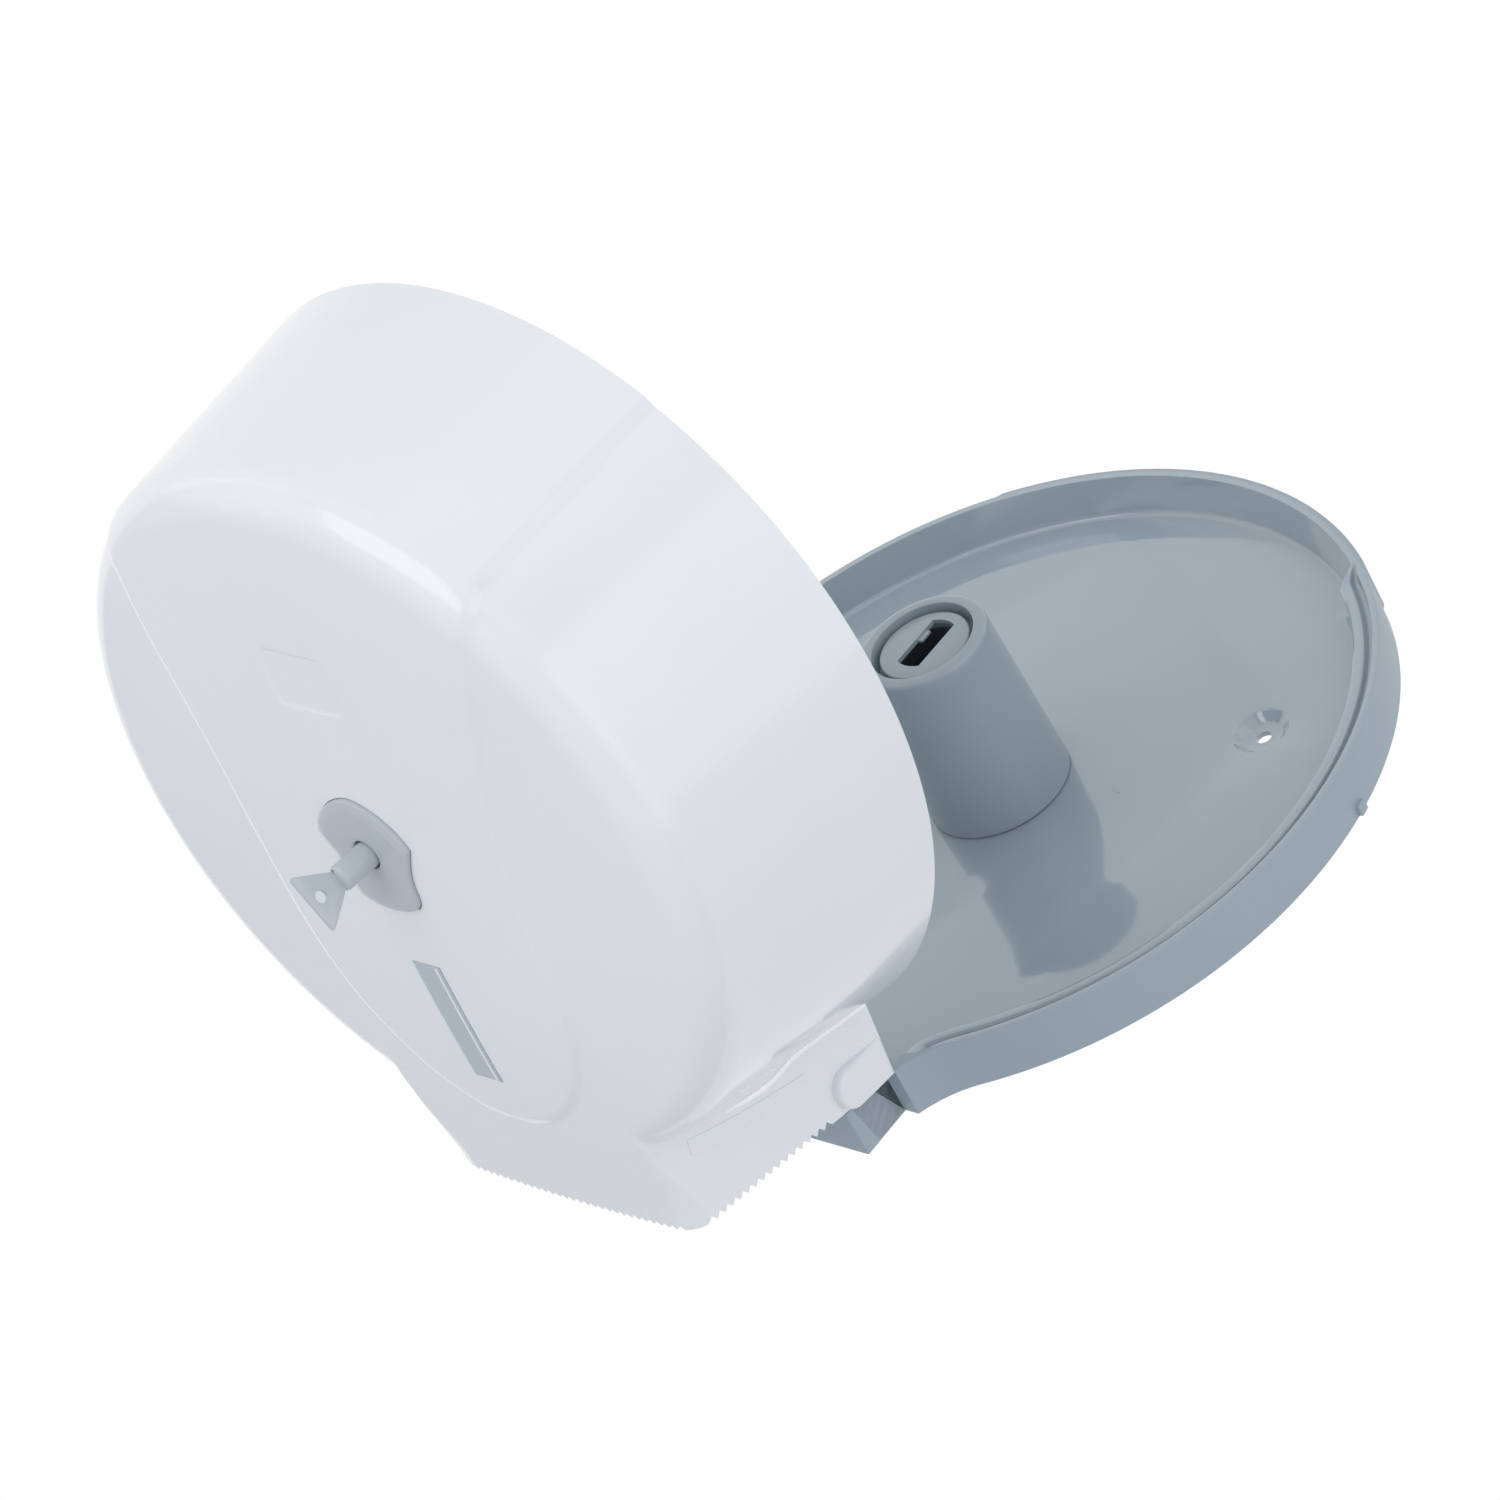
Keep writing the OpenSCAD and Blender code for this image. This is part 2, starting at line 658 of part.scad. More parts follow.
// Outline of the shield plate, moved outwards by a margin on each side.
module shield_outline(margin) {
    shoulder = [shield_w + margin, 4.7];
    waist = [shield_w * 0.7 + margin, -11.5];
    corner = [shield_w * 0.47 + margin, -shield_foot + 1.6 - margin];
    top = [0, shield_top + margin];
    foot = [0, -shield_foot - margin];
    half = concat(
        curve(top, top + [9, -0.5], shoulder + [-2.4, 7.3], shoulder, 8),
        curve(shoulder, shoulder + [-2.4, -4.7], waist + [0.2, 5.5], waist, 6),
        curve(waist, waist + [-0.1, -4.5], corner + [3.6, 0.8], corner, 5),
        curve(corner, corner + [-2.9, -1.1], foot + [2.5, 0], foot, 3));
    polygon(concat(half, [foot], [for (i = [len(half) - 1 : -1 : 1]) [-half[i][0], half[i][1]]]));
}

module window_view(margin) {
    translate([-window_w / 2 - margin, -window_low_drop - margin])
        square([window_w + 2 * margin, window_low_drop - window_top_drop + 2 * margin]);
}

module cover_shell() color([0.90, 0.92, 0.94]) opened() {
    teeth_half_w = throat_front_half_w - tooth_pitch;
    difference() {
        union() {
            turned() cover_section(0, cover_d);
            intersection() {
                turned() cover_section(band_rise, cover_d);
                front(cover_d, panel_d + past) panel_outline();
            }
            throat_body(0, cover_drop, cover_d);
            side(throat_half_w - rim_wall, ear_half_w) ear_view();
            side(-ear_half_w, rim_wall - throat_half_w) ear_view();
            side(foot_half_w + ear_gap, ear_half_w) ear_view();
            side(-ear_half_w, -foot_half_w - ear_gap) ear_view();
        }
        difference() {
            union() {
                turned() cover_section(-cover_wall, cover_d - past);
                throat_body(cover_wall, cover_drop + past, cover_d - past);
            }
            rod(0, 0, seat_r, seat_d, dome_d, round_fn);
            side(foot_half_w + ear_gap, ear_half_w) ear_view();
            side(-ear_half_w, -foot_half_w - ear_gap) ear_view();
        }
        side(-foot_half_w - ear_gap, foot_half_w + ear_gap)
            translate([hinge_d, -hinge_drop]) circle(r = lug_r + 2 * ear_gap, $fn = 2 * small_fn);
        translate([-foot_half_w - pin_grip - ear_gap, -hinge_d, -hinge_drop]) rotate([0, 90, 0])
            cylinder(r = pin_dia / 2, h = 2 * (foot_half_w + pin_grip + ear_gap), $fn = small_fn);
        front(seat_d - 3 * flange_t, panel_d + past) window_view(0);
        rod(0, 0, barrel_head_r + head_gap, seat_d - past, panel_d);
        front(shield_back_d, panel_d + past) shield_outline(seam_gap);
        front(panel_d - tile_depth - tile_z ^ 2 / (2 * dome_r), panel_d + past)
            translate([0, tile_z]) rounded_tile(tile_w, tile_h, tile_round);
        for (s = [-1, 1])
            rod(s * housing_screw_x, 0, tapper_r, seat_d - past, seat_d + housing_screw_grip + loose);
        front(throat_front_d - 3 * cover_wall, panel_d) translate([0, -cover_drop])
            notches(-teeth_half_w, teeth_half_w);
        side(-reach / 2, reach / 2) translate([0, -cover_drop])
            notches(teeth_start_d, throat_front_d - 2 * cover_wall);
    }
}

module hinge_pin(s) color([0.72, 0.73, 0.75]) {
    length = lug_w + ear_gap + pin_grip;
    x0 = s > 0 ? foot_half_w - lug_w : -foot_half_w - ear_gap - pin_grip;
    translate([x0, -hinge_d, -hinge_drop]) rotate([0, 90, 0])
        cylinder(r = pin_dia / 2, h = length, $fn = small_fn);
}

module level_window() color([0.68, 0.74, 0.78]) opened() {
    intersection() {
        difference() {
            turned() cover_section(band_rise + pane_proud, cover_d);
            turned() cover_section(-cover_wall - seam_gap - pane_ledge_t, cover_d - past);
        }
        front(cover_d, 2 * dome_d) window_view(-seam_gap);
    }
    intersection() {
        difference() {
            turned() cover_section(-cover_wall - seam_gap, cover_d);
            turned() cover_section(-cover_wall - seam_gap - pane_ledge_t, cover_d - past);
        }
        front(cover_d, 2 * dome_d) window_view(pane_ledge);
    }
}

module lock_shield() color([0.68, 0.71, 0.74]) opened() difference() {
    front(shield_back_d, shield_face_d) shield_outline(0);
    rod(0, 0, stem_r + loose, 0, shield_face_d + past);
}

module lock_housing() color([0.64, 0.68, 0.72]) opened() difference() {
    union() {
        rod(0, 0, flange_r, seat_d - flange_t, seat_d, round_fn);
        rod(0, 0, housing_r, housing_end_d, seat_d, round_fn);
    }
    rod(0, 0, barrel_r + lock_fit, barrel_end_d - head_gap, seat_d + past, round_fn);
    rod(0, 0, latch_r + lock_fit, 0, seat_d);
    for (s = [-1, 1])
        rod(s * housing_screw_x, 0, tapper_r + loose, 0, seat_d + past);
}

module housing_screw(s) color([0.75, 0.76, 0.78]) opened() {
    rod(s * housing_screw_x, 0, tapper_head_r, seat_d - flange_t - tapper_head_t, seat_d - flange_t);
    rod(s * housing_screw_x, 0, tapper_r, seat_d - flange_t - tapper_head_t, seat_d + housing_screw_grip);
}

module lock_barrel() color([0.50, 0.54, 0.58]) opened() difference() {
    union() {
        rod(0, 0, barrel_r, barrel_end_d, seat_d + head_gap, round_fn);
        rod(0, 0, barrel_head_r, seat_d + head_gap, shield_back_d - head_gap, round_fn);
    }
    rod(0, 0, stem_r + loose, stem_tip_d - head_gap, shield_back_d);
    front(driver_tip_d - head_gap, shield_back_d) rotate(bow_lean)
        square(driver_w + 2 * socket_gap, center = true);
    rod(0, 0, latch_r, barrel_end_d - past, barrel_end_d + latch_grip);
}

module latch_shaft() color([0.74, 0.75, 0.77]) opened() difference() {
    rod(0, 0, latch_r, bar_front_d, barrel_end_d + latch_grip);
    ring(clip_groove_r, 2 * latch_r, housing_end_d - head_gap - clip_t, housing_end_d - head_gap);
    rod(0, 0, tapper_r, bar_front_d - past, bar_front_d + housing_screw_grip + loose);
}

module latch_clip() color([0.45, 0.46, 0.48]) opened()
    ring(clip_groove_r, clip_r, housing_end_d - head_gap - clip_t, housing_end_d - head_gap);

module latch_bar() color([0.70, 0.71, 0.73]) opened() difference() {
    front(bar_back_d, bar_front_d) square([bar_w, bar_l], center = true);
    rod(0, 0, tapper_r + loose / 2, 0, post_d);
}

module latch_screw() color([0.75, 0.76, 0.78]) opened() {
    rod(0, 0, bar_w / 2, bar_back_d - tapper_head_t, bar_back_d);
    rod(0, 0, tapper_r, bar_back_d - tapper_head_t, bar_front_d + housing_screw_grip);
}

// Front view of the key's bow: width along x, length along y.
module bow_view() {
    root_w = 2 * stem_r - 1;
    waist = bow_l * 0.45;
    polygon([[-root_w / 2, -bow_overlap], [root_w / 2, -bow_overlap], [root_w / 2, 0],
        [bow_w * 0.36, waist], [bow_w / 2, bow_l - 1.5], [bow_w * 0.44, bow_l],
        [-bow_w * 0.44, bow_l], [-bow_w / 2, bow_l - 1.5], [-bow_w * 0.36, waist], [-root_w / 2, 0]]);
}

module key() color([0.66, 0.69, 0.72]) opened() {
    difference() {
        union() {
            rod(0, 0, stem_r, stem_tip_d, bow_d);
            front(driver_tip_d, stem_tip_d) rotate(bow_lean) square(driver_w, center = true);
            rotate([0, -bow_lean, 0]) translate([-bow_t / 2, -bow_d, 0]) rotate([90, 0, 90])
                linear_extrude(bow_t) rotate(90) bow_view();
        }
        rotate([0, -bow_lean, 0]) translate([-reach / 2, -bow_d - bow_l * 0.62, 0]) rotate([0, 90, 0])
            cylinder(r = bow_hole_r, h = reach, $fn = small_fn);
    }
}

back_plate();
spindle_post();
keeper_disc();
post_screw(0);  // post_screw_1
post_screw(1);  // post_screw_2
post_screw(2);  // post_screw_3
roll_sleeve();
cover_shell();
hinge_pin(-1);  // hinge_pin_left
hinge_pin(1);  // hinge_pin_right
level_window();
lock_shield();
lock_housing();
housing_screw(-1);  // housing_screw_left
housing_screw(1);  // housing_screw_right
lock_barrel();
latch_shaft();
latch_clip();
latch_bar();
latch_screw();
key();
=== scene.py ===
import math

import bmesh
import bpy
from mathutils import Matrix, Vector


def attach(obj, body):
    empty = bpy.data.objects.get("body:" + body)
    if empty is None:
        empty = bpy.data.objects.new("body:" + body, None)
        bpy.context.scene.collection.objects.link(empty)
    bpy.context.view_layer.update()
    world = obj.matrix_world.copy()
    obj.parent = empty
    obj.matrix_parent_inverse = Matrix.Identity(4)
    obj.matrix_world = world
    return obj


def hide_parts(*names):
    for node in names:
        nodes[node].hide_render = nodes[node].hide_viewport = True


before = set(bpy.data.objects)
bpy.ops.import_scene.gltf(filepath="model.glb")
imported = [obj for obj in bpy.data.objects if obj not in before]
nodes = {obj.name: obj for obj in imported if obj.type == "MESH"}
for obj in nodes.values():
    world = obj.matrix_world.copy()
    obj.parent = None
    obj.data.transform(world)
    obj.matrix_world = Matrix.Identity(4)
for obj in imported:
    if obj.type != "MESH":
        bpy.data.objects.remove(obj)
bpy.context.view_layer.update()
bpy.ops.object.select_all(action="DESELECT")
mm = 0.001
print("frame loaded:", len(nodes), "nodes")


# the cover and its lock are drawn shut, then swung out about the hinge pins
hang = {
    "hingeDepth": 30.2,
    "hingeDrop": 136.6,
    "angle": 83.2872,
}
hingePoint = Vector((0, -hang["hingeDepth"], -hang["hingeDrop"])) * mm
openTurn = (
    Matrix.Translation(hingePoint)
    @ Matrix.Rotation(math.radians(hang["angle"]), 4, "X")
    @ Matrix.Translation(-hingePoint)
)


def clamp(value, low=0.0, high=1.0):
    return max(low, min(high, value))


def soft(value):
    value = clamp(value)
    return value * value * (3 - 2 * value)


def mix(a, b, t):
    return a + (b - a) * t


def startPiece(name):
    piece = bpy.context.object
    piece.name = name
    piece.data.name = name
    return piece


def focus(piece):
    bpy.ops.object.select_all(action="DESELECT")
    piece.select_set(True)
    bpy.context.view_layer.objects.active = piece


def settle(piece, turn=None):
    # the place goes into the mesh, and the object back to the origin
    focus(piece)
    if turn is not None:
        piece.matrix_world = turn @ piece.matrix_world
    bpy.ops.object.transform_apply(location=True, rotation=True, scale=True)
    return piece


def applyModifier(piece, kind, **settings):
    focus(piece)
    modifier = piece.modifiers.new(kind.title(), kind)
    for key, value in settings.items():
        setattr(modifier, key, value)
    bpy.ops.object.modifier_apply(modifier=modifier.name)


def smoothPiece(piece, angle=35):
    focus(piece)
    bpy.ops.object.shade_smooth_by_angle(angle=math.radians(angle))


def faceOutwards(piece):
    # a thin shell can come out inside out, which its signed volume shows
    focus(piece)
    bpy.ops.object.mode_set(mode="EDIT")
    bpy.ops.mesh.select_all(action="SELECT")
    bpy.ops.mesh.delete_loose()
    bpy.ops.mesh.select_all(action="SELECT")
    bpy.ops.mesh.normals_make_consistent(inside=False)
    bpy.ops.object.mode_set(mode="OBJECT")
    shape = bmesh.new()
    shape.from_mesh(piece.data)
    turned = shape.calc_volume(signed=True) < 0
    shape.free()
    if turned:
        bpy.ops.object.mode_set(mode="EDIT")
        bpy.ops.mesh.select_all(action="SELECT")
        bpy.ops.mesh.flip_normals()
        bpy.ops.object.mode_set(mode="OBJECT")


def cleanPiece(piece, distance=1e-6):
    focus(piece)
    bpy.ops.object.mode_set(mode="EDIT")
    bpy.ops.mesh.select_all(action="SELECT")
    bpy.ops.mesh.remove_doubles(threshold=distance)
    bpy.ops.object.mode_set(mode="OBJECT")
    faceOutwards(piece)


def cut(piece, cutter, operation="DIFFERENCE"):
    applyModifier(piece, "BOOLEAN", operation=operation, object=cutter, solver="EXACT")
    bpy.data.objects.remove(cutter)


def loftSkin(name, rows, ringJoined=True):
    # a grid primitive whose rows are laid on the given rows of points and whose ends are sewn up
    across, along = len(rows[0]), len(rows)
    columns = across + 1 if ringJoined else across
    bpy.ops.mesh.primitive_grid_add(x_subdivisions=columns - 1, y_subdivisions=along - 1, size=1)
    piece = startPiece(name)
    for i, vertex in enumerate(piece.data.vertices):
        row, column = divmod(i, columns)
        vertex.co = Vector(rows[row][column % across]) * mm
    cleanPiece(piece)
    return piece


def profileSpin(name, profile, steps):
    # a closed profile of (radius, depth) points turned about the roll axis
    bpy.ops.mesh.primitive_circle_add(vertices=len(profile), radius=mm, fill_type="NOTHING")
    piece = startPiece(name)
    for vertex, (radius, depth) in zip(piece.data.vertices, profile):
        vertex.co = Vector((radius, -depth, 0)) * mm
    focus(piece)
    bpy.ops.object.mode_set(mode="EDIT")
    bpy.ops.mesh.select_all(action="SELECT")
    bpy.ops.mesh.spin(steps=steps, angle=math.tau, center=(0, 0, 0), axis=(0, 1, 0), use_auto_merge=True)
    bpy.ops.object.mode_set(mode="OBJECT")
    cleanPiece(piece)
    return piece


def outlineSlab(name, outline, low, high, bevel=0.0, segments=3, sideways=False):
    # an outline of (x, z) points pushed out in depth, or one of (depth, z) points pushed along X
    bpy.ops.mesh.primitive_circle_add(vertices=len(outline), radius=mm, fill_type="NGON")
    piece = startPiece(name)
    for vertex, (a, z) in zip(piece.data.vertices, outline):
        vertex.co = Vector((low, -a, z) if sideways else (a, -low, z)) * mm
    push = ((high - low) * mm, 0, 0) if sideways else (0, -(high - low) * mm, 0)
    focus(piece)
    bpy.ops.object.mode_set(mode="EDIT")
    bpy.ops.mesh.select_all(action="SELECT")
    bpy.ops.mesh.extrude_region_move(TRANSFORM_OT_translate={"value": push})
    bpy.ops.object.mode_set(mode="OBJECT")
    cleanPiece(piece)
    if bevel:
        applyModifier(piece, "BEVEL", width=bevel * mm, segments=segments, limit_method="ANGLE",
                      angle_limit=math.radians(40), use_clamp_overlap=True)
    return piece


def fillEnds(piece):
    focus(piece)
    bpy.ops.object.mode_set(mode="EDIT")
    bpy.ops.mesh.select_mode(type="VERT")
    bpy.ops.mesh.select_all(action="DESELECT")
    bpy.ops.mesh.select_non_manifold()
    bpy.ops.mesh.fill_holes(sides=0)
    bpy.ops.object.mode_set(mode="OBJECT")
    faceOutwards(piece)
    return piece


def curvePoints(a, b, c, d, steps):
    # a Bezier curve from a to d, without its last point
    points = []
    for i in range(steps):
        t = i / steps
        shares = [(1 - t) ** 3, 3 * (1 - t) ** 2 * t, 3 * (1 - t) * t * t, t ** 3]
        points.append(tuple(sum(k * p[j] for k, p in zip(shares, (a, b, c, d))) for j in (0, 1)))
    return points


def arcPoints(a, z, radius, start, end, count):
    # points on an arc about (a, z), from one angle in degrees to another
    angles = [math.radians(mix(start, end, k / (count - 1))) for k in range(count)]
    return [(a + radius * math.cos(angle), z + radius * math.sin(angle)) for angle in angles]


def roundCorners(corners, steps=4):
    # corners of (x, y, radius) in a row, each turned into a short arc of points
    points = []
    last = len(corners) - 1
    for i, (x, y, radius) in enumerate(corners):
        here = Vector((x, y))
        if i in (0, last):
            points.append(tuple(here))
            continue
        before = Vector(corners[i - 1][:2]) - here
        after = Vector(corners[i + 1][:2]) - here
        reach = min(radius, before.length * 0.48, after.length * 0.48)
        a, b = here + before.normalized() * reach, here + after.normalized() * reach
        for k in range(steps):
            t = k / (steps - 1)
            points.append(tuple(a * (1 - t) ** 2 + here * 2 * t * (1 - t) + b * t * t))
    return points


def block(name, low, high, bevel=0.0, segments=3):
    size = [(b - a) * mm for a, b in zip(low, high)]
    middle = [(b + a) / 2 * mm for a, b in zip(low, high)]
    bpy.ops.mesh.primitive_cube_add(size=1, location=middle)
    piece = startPiece(name)
    piece.scale = size
    settle(piece)
    if bevel:
        applyModifier(piece, "BEVEL", width=bevel * mm, segments=segments, limit_method="ANGLE",
                      angle_limit=math.radians(40))
    return piece


def rod(name, x, z, radius, depth0, depth1, sides=48, bevel=0.0):
    bpy.ops.mesh.primitive_cylinder_add(vertices=sides, radius=radius * mm, depth=(depth1 - depth0) * mm,
                                        location=(x * mm, -(depth0 + depth1) / 2 * mm, z * mm),
                                        rotation=(math.pi / 2, 0, 0))
    piece = settle(startPiece(name))
    if bevel:
        applyModifier(piece, "BEVEL", width=bevel * mm, segments=3, limit_method="ANGLE",
                      angle_limit=math.radians(40))
    return piece


def crossBar(name, x0, x1, depth, z, radius):
    # a round bar along X
    bpy.ops.mesh.primitive_cylinder_add(vertices=48, radius=radius * mm, depth=(x1 - x0) * mm,
                                        location=((x0 + x1) / 2 * mm, -depth * mm, z * mm),
                                        rotation=(0, math.pi / 2, 0))
    return settle(startPiece(name))


def joinPieces(first, *others):
    bpy.ops.object.select_all(action="DESELECT")
    for piece in others:
        piece.select_set(True)
    first.select_set(True)
    bpy.context.view_layer.objects.active = first
    bpy.ops.object.join()
    return first


# a socket that takes part in sums
class Flow:
    def __init__(self, paint, socket):
        self.paint, self.socket = paint, socket

    def sum(self, operation, a, b=0.0):
        return self.paint.add("ShaderNodeMath", {"operation": operation}, {0: a, 1: b})

    def __add__(self, other):
        return self.sum("ADD", self, other)

    __radd__ = __add__

    def __sub__(self, other):
        return self.sum("SUBTRACT", self, other)

    def __rsub__(self, other):
        return self.sum("SUBTRACT", other, self)

    def __mul__(self, other):
        return self.sum("MULTIPLY", self, other)

    def __pow__(self, other):
        return self.sum("POWER", self, other)


class Paint:
    def __init__(self, name):
        self.material = bpy.data.materials.new(name)
        self.material.use_nodes = True
        self.tree = self.material.node_tree
        self.tree.nodes.clear()
        self.shader = self.tree.nodes.new("ShaderNodeBsdfPrincipled")
        self.output = self.tree.nodes.new("ShaderNodeOutputMaterial")
        self.tree.links.new(self.shader.outputs[0], self.output.inputs["Surface"])
        self.place = self.add("ShaderNodeTexCoord", out="Object")

    def feed(self, node, key, value):
        if isinstance(value, Flow):
            self.tree.links.new(value.socket, node.inputs[key])
        else:
            node.inputs[key].default_value = value

    def add(self, kind, settings=None, sockets=None, out=0):
        node = self.tree.nodes.new(kind)
        for key, value in (settings or {}).items():
            setattr(node, key, value)
        for key, value in (sockets or {}).items():
            self.feed(node, key, value)
        return Flow(self, node.outputs[out])

    def set(self, **values):
        for key, value in values.items():
            self.feed(self.shader, key.replace("_", " "), value)

    def noise(self, scale, detail=2.0, roughness=0.5, place=None):
        return self.add("ShaderNodeTexNoise", sockets={"Vector": place or self.place, "Scale": scale,
                                                       "Detail": detail, "Roughness": roughness})

    def parts(self):
        node = self.add("ShaderNodeSeparateXYZ", sockets={0: self.place}).socket.node
        return [Flow(self, output) for output in node.outputs]

    def stretched(self, factors, turn=(0, 0, 0)):
        return self.add("ShaderNodeMapping", {},
                        {"Vector": self.place, "Scale": factors, "Rotation": turn})

    def window(self, value, low, high):
        # 0 below low, 1 above high
        return self.add("ShaderNodeMapRange", {"clamp": True},
                        {"Value": value, "From Min": low, "From Max": high})

    def blend(self, factor, a, b):
        return self.add("ShaderNodeMix", {"data_type": "RGBA"}, {"Factor": factor, 6: a, 7: b}, out=2)

    def bump(self, height, distance):
        return self.add("ShaderNodeBump", {}, {"Height": height, "Distance": distance, "Strength": 1.0})


def linear(r, g, b):
    def one(value):
        value /= 255
        return value / 12.92 if value <= 0.04045 else ((value + 0.055) / 1.055) ** 2.4
    return (one(r), one(g), one(b), 1.0)


plasticLooks = {
    "cover_white": {"colour": (237, 240, 243), "shade": (232, 236, 240), "gloss": 0.15, "peel": 0.4,
                    "scuff": 0.03, "ior": 1.5, "coat": 0.3},
    # a brighter white for the crest bead, a painted highlight along the crest
    "crest_painted_highlight": {"colour": (253, 254, 255), "shade": (250, 252, 254), "gloss": 0.1, "peel": 0.1,
                    "scuff": 0.01, "ior": 1.6, "coat": 1.0},
    "plate_grey": {"colour": (162, 176, 187), "shade": (157, 171, 181), "gloss": 0.07, "peel": 0.2,
                   "scuff": 0.02, "ior": 1.62, "coat": 1.0, "dullFrom": 0.1338},
    "spindle_grey": {"colour": (164, 177, 186), "shade": (158, 171, 180), "gloss": 0.2, "peel": 0.4,
                     "scuff": 0.03, "ior": 1.5, "coat": 0.2},
    "lock_grey": {"colour": (190, 196, 202), "shade": (184, 190, 197), "gloss": 0.24, "peel": 0.15,
                  "scuff": 0.02, "ior": 1.5, "coat": 0.15},
    # the post's darker grey is painted shade for the gap behind the keeper slot
    "post_painted_shade": {"colour": (84, 92, 101), "shade": (78, 86, 95), "gloss": 0.4, "peel": 0.2,
                  "scuff": 0.02, "ior": 1.45, "coat": 0.0},
    "lock_dark": {"colour": (60, 66, 74), "shade": (52, 58, 66), "gloss": 0.35, "peel": 0.4,
                  "scuff": 0.06, "ior": 1.5, "coat": 0.1},
}


def plastic(name, colour, shade, gloss, peel, scuff, ior, coat, dullFrom=None):
    # dullFrom is the distance from the roll axis beyond which the surface is finely textured and uncoated
    paint = Paint(name)
    cloud = paint.noise(9, detail=3)
    grain = paint.noise(900, detail=2)
    peelWave = paint.noise(260, detail=1)
    streaks = paint.noise(30, detail=5, roughness=0.65, place=paint.stretched((1, 6, 1), (0.3, 0.2, 0.5)))
    rubs = paint.window(streaks, 0.56, 0.75)
    tint = paint.blend(paint.window(cloud, 0.3, 0.7), linear(*colour), linear(*shade))
    tint = paint.blend(grain * 0.05, tint, linear(*[c * 0.86 for c in colour]))
    roughness = gloss + (cloud - 0.5) * 0.05 + rubs * scuff + grain * 0.03
    coating = coat
    if dullFrom:
        x, y, z = paint.parts()
        dull = paint.window((x * x + z * z) ** 0.5, dullFrom, dullFrom + 0.001)
        roughness += dull * 0.4
        coating = coat - dull * coat
    paint.set(Base_Color=tint, Roughness=roughness, IOR=ior, Coat_Weight=coating, Coat_Roughness=0.04,
              Normal=paint.bump(peelWave * peel + grain * 0.25, 0.00003))
    return paint.material


def steel(name, colour, gloss, brush):
    paint = Paint(name)
    lines = paint.noise(60, detail=4, place=paint.stretched((1, 40, 1)))
    spots = paint.noise(300, detail=3)
    tint = paint.blend(spots, linear(*colour), linear(*[c * 0.88 for c in colour]))
    paint.set(Base_Color=tint, Metallic=1.0, Roughness=gloss + lines * brush,
              Normal=paint.bump(lines, 0.00002))
    return paint.material


def smokedWindow(name):
    paint = Paint(name)
    cloud = paint.noise(40, detail=3)
    tint = paint.blend(cloud, linear(200, 210, 218), linear(190, 201, 210))
    paint.set(Base_Color=tint, Roughness=0.14 + cloud * 0.06, IOR=1.49, Transmission_Weight=0.15,
              Coat_Weight=0.4, Normal=paint.bump(paint.noise(200), 0.00002))
    return paint.material


finishes = {name: plastic(name, **look) for name, look in plasticLooks.items()}
finishes["pin_steel"] = steel("pin_steel", (190, 193, 197), 0.25, 0.1)
finishes["screw_zinc"] = steel("screw_zinc", (196, 198, 200), 0.3, 0.12)
finishes["window_smoke"] = smokedWindow("window_smoke")
print("finishes made:", len(finishes))


def finishPiece(piece, slot):
    piece.data.materials.clear()
    piece.data.materials.append(finishes[slot])


nodeSlots = {
    "plate_grey": ["back_plate"],
    "spindle_grey": ["spindle_post", "keeper_disc", "roll_sleeve"],
    "screw_zinc": ["post_screw_1", "post_screw_2", "post_screw_3",
                   "housing_screw_left", "housing_screw_right", "latch_screw"],
    "cover_white": ["cover_shell"],
    "pin_steel": ["hinge_pin_left", "hinge_pin_right", "latch_shaft", "latch_bar"],
    "window_smoke": ["level_window"],
    "lock_grey": ["lock_shield", "lock_housing", "key"],
    "lock_dark": ["lock_barrel", "latch_clip"],
}
for slotName, members in nodeSlots.items():
    for member in members:
        nodes[member].data.materials.clear()
        nodes[member].data.materials.append(finishes[slotName])
# painted shade: a darker grey for the post, so that the gap behind the keeper slot reads dark; the post shows
# only round and through the keeper disc
nodes["spindle_post"].data.materials[0] = finishes["post_painted_shade"]

# the cover is one shell with an outer and an inner skin
cover = {
    "rimRadius": 134.7, "rimDepth": 19.5, "draft": 7.0, "wall": 2.7,
    "domeDepth": 115.9, "domeRadius": 900.0, "softEdge": 14.0,
    "throatRear": 64.4, "throatFront": 53.9, "throatFrontDepth": 104.0,
    "throatRound": 1.6, "mouthRound": 10.0, "roundFrom": 112.0, "roundOver": 30.0,
    "mouthDrop": 147.0, "spareDrop": 158.0,
    "lockHole": 10.0, "seatRadius": 24.0, "seatDepth": 111.6,
    "bandRise": 1.3, "bandStep": 5.0, "bandRimAngle": 37.3, "bandEdgeSkew": 0.84, "bandLow": -110.0,
}
# near the hinge line the inner skin keeps clear of the foot's lugs
earRelief = {"reach": 11.5, "beyond": 55.0, "inner": 59.4}
# the band's side in the front view, from its upper corner down to the foot
panelSide = [(78.6, 97.3), (76.4, 84.0), (73.8, 68.0), (70.4, 54.5), (66.8, 41.5), (63.4, 26.0), (61.0, 11.0),
             (59.3, -6.0), (57.9, -23.0), (56.6, -37.0), (54.7, -50.0), (52.2, -60.5), (48.5, -71.0),
             (43.0, -81.0), (36.0, -90.5), (28.6, -98.0), (21.6, -102.6), (15.0, -105.9), (10.0, -107.5),
             (5.0, -108.3), (0.0, -108.5)]
draftTan = math.tan(math.radians(cover["draft"]))
draftCos = math.cos(math.radians(cover["draft"]))
wallReach = cover["rimRadius"] + draftTan * cover["rimDepth"]
domeDrop = cover["domeDepth"] - cover["domeRadius"]
throatTan = (cover["throatRear"] - cover["throatFront"]) / (cover["throatFrontDepth"] - cover["rimDepth"])
# how far from the top the band's side crosses the dome's end, the soft edge's end and the rim
bandAngles = {"dome": math.atan2(*panelSide[1]), "corner": math.atan2(*panelSide[0]),
              "rim": math.radians(cover["bandRimAngle"])}


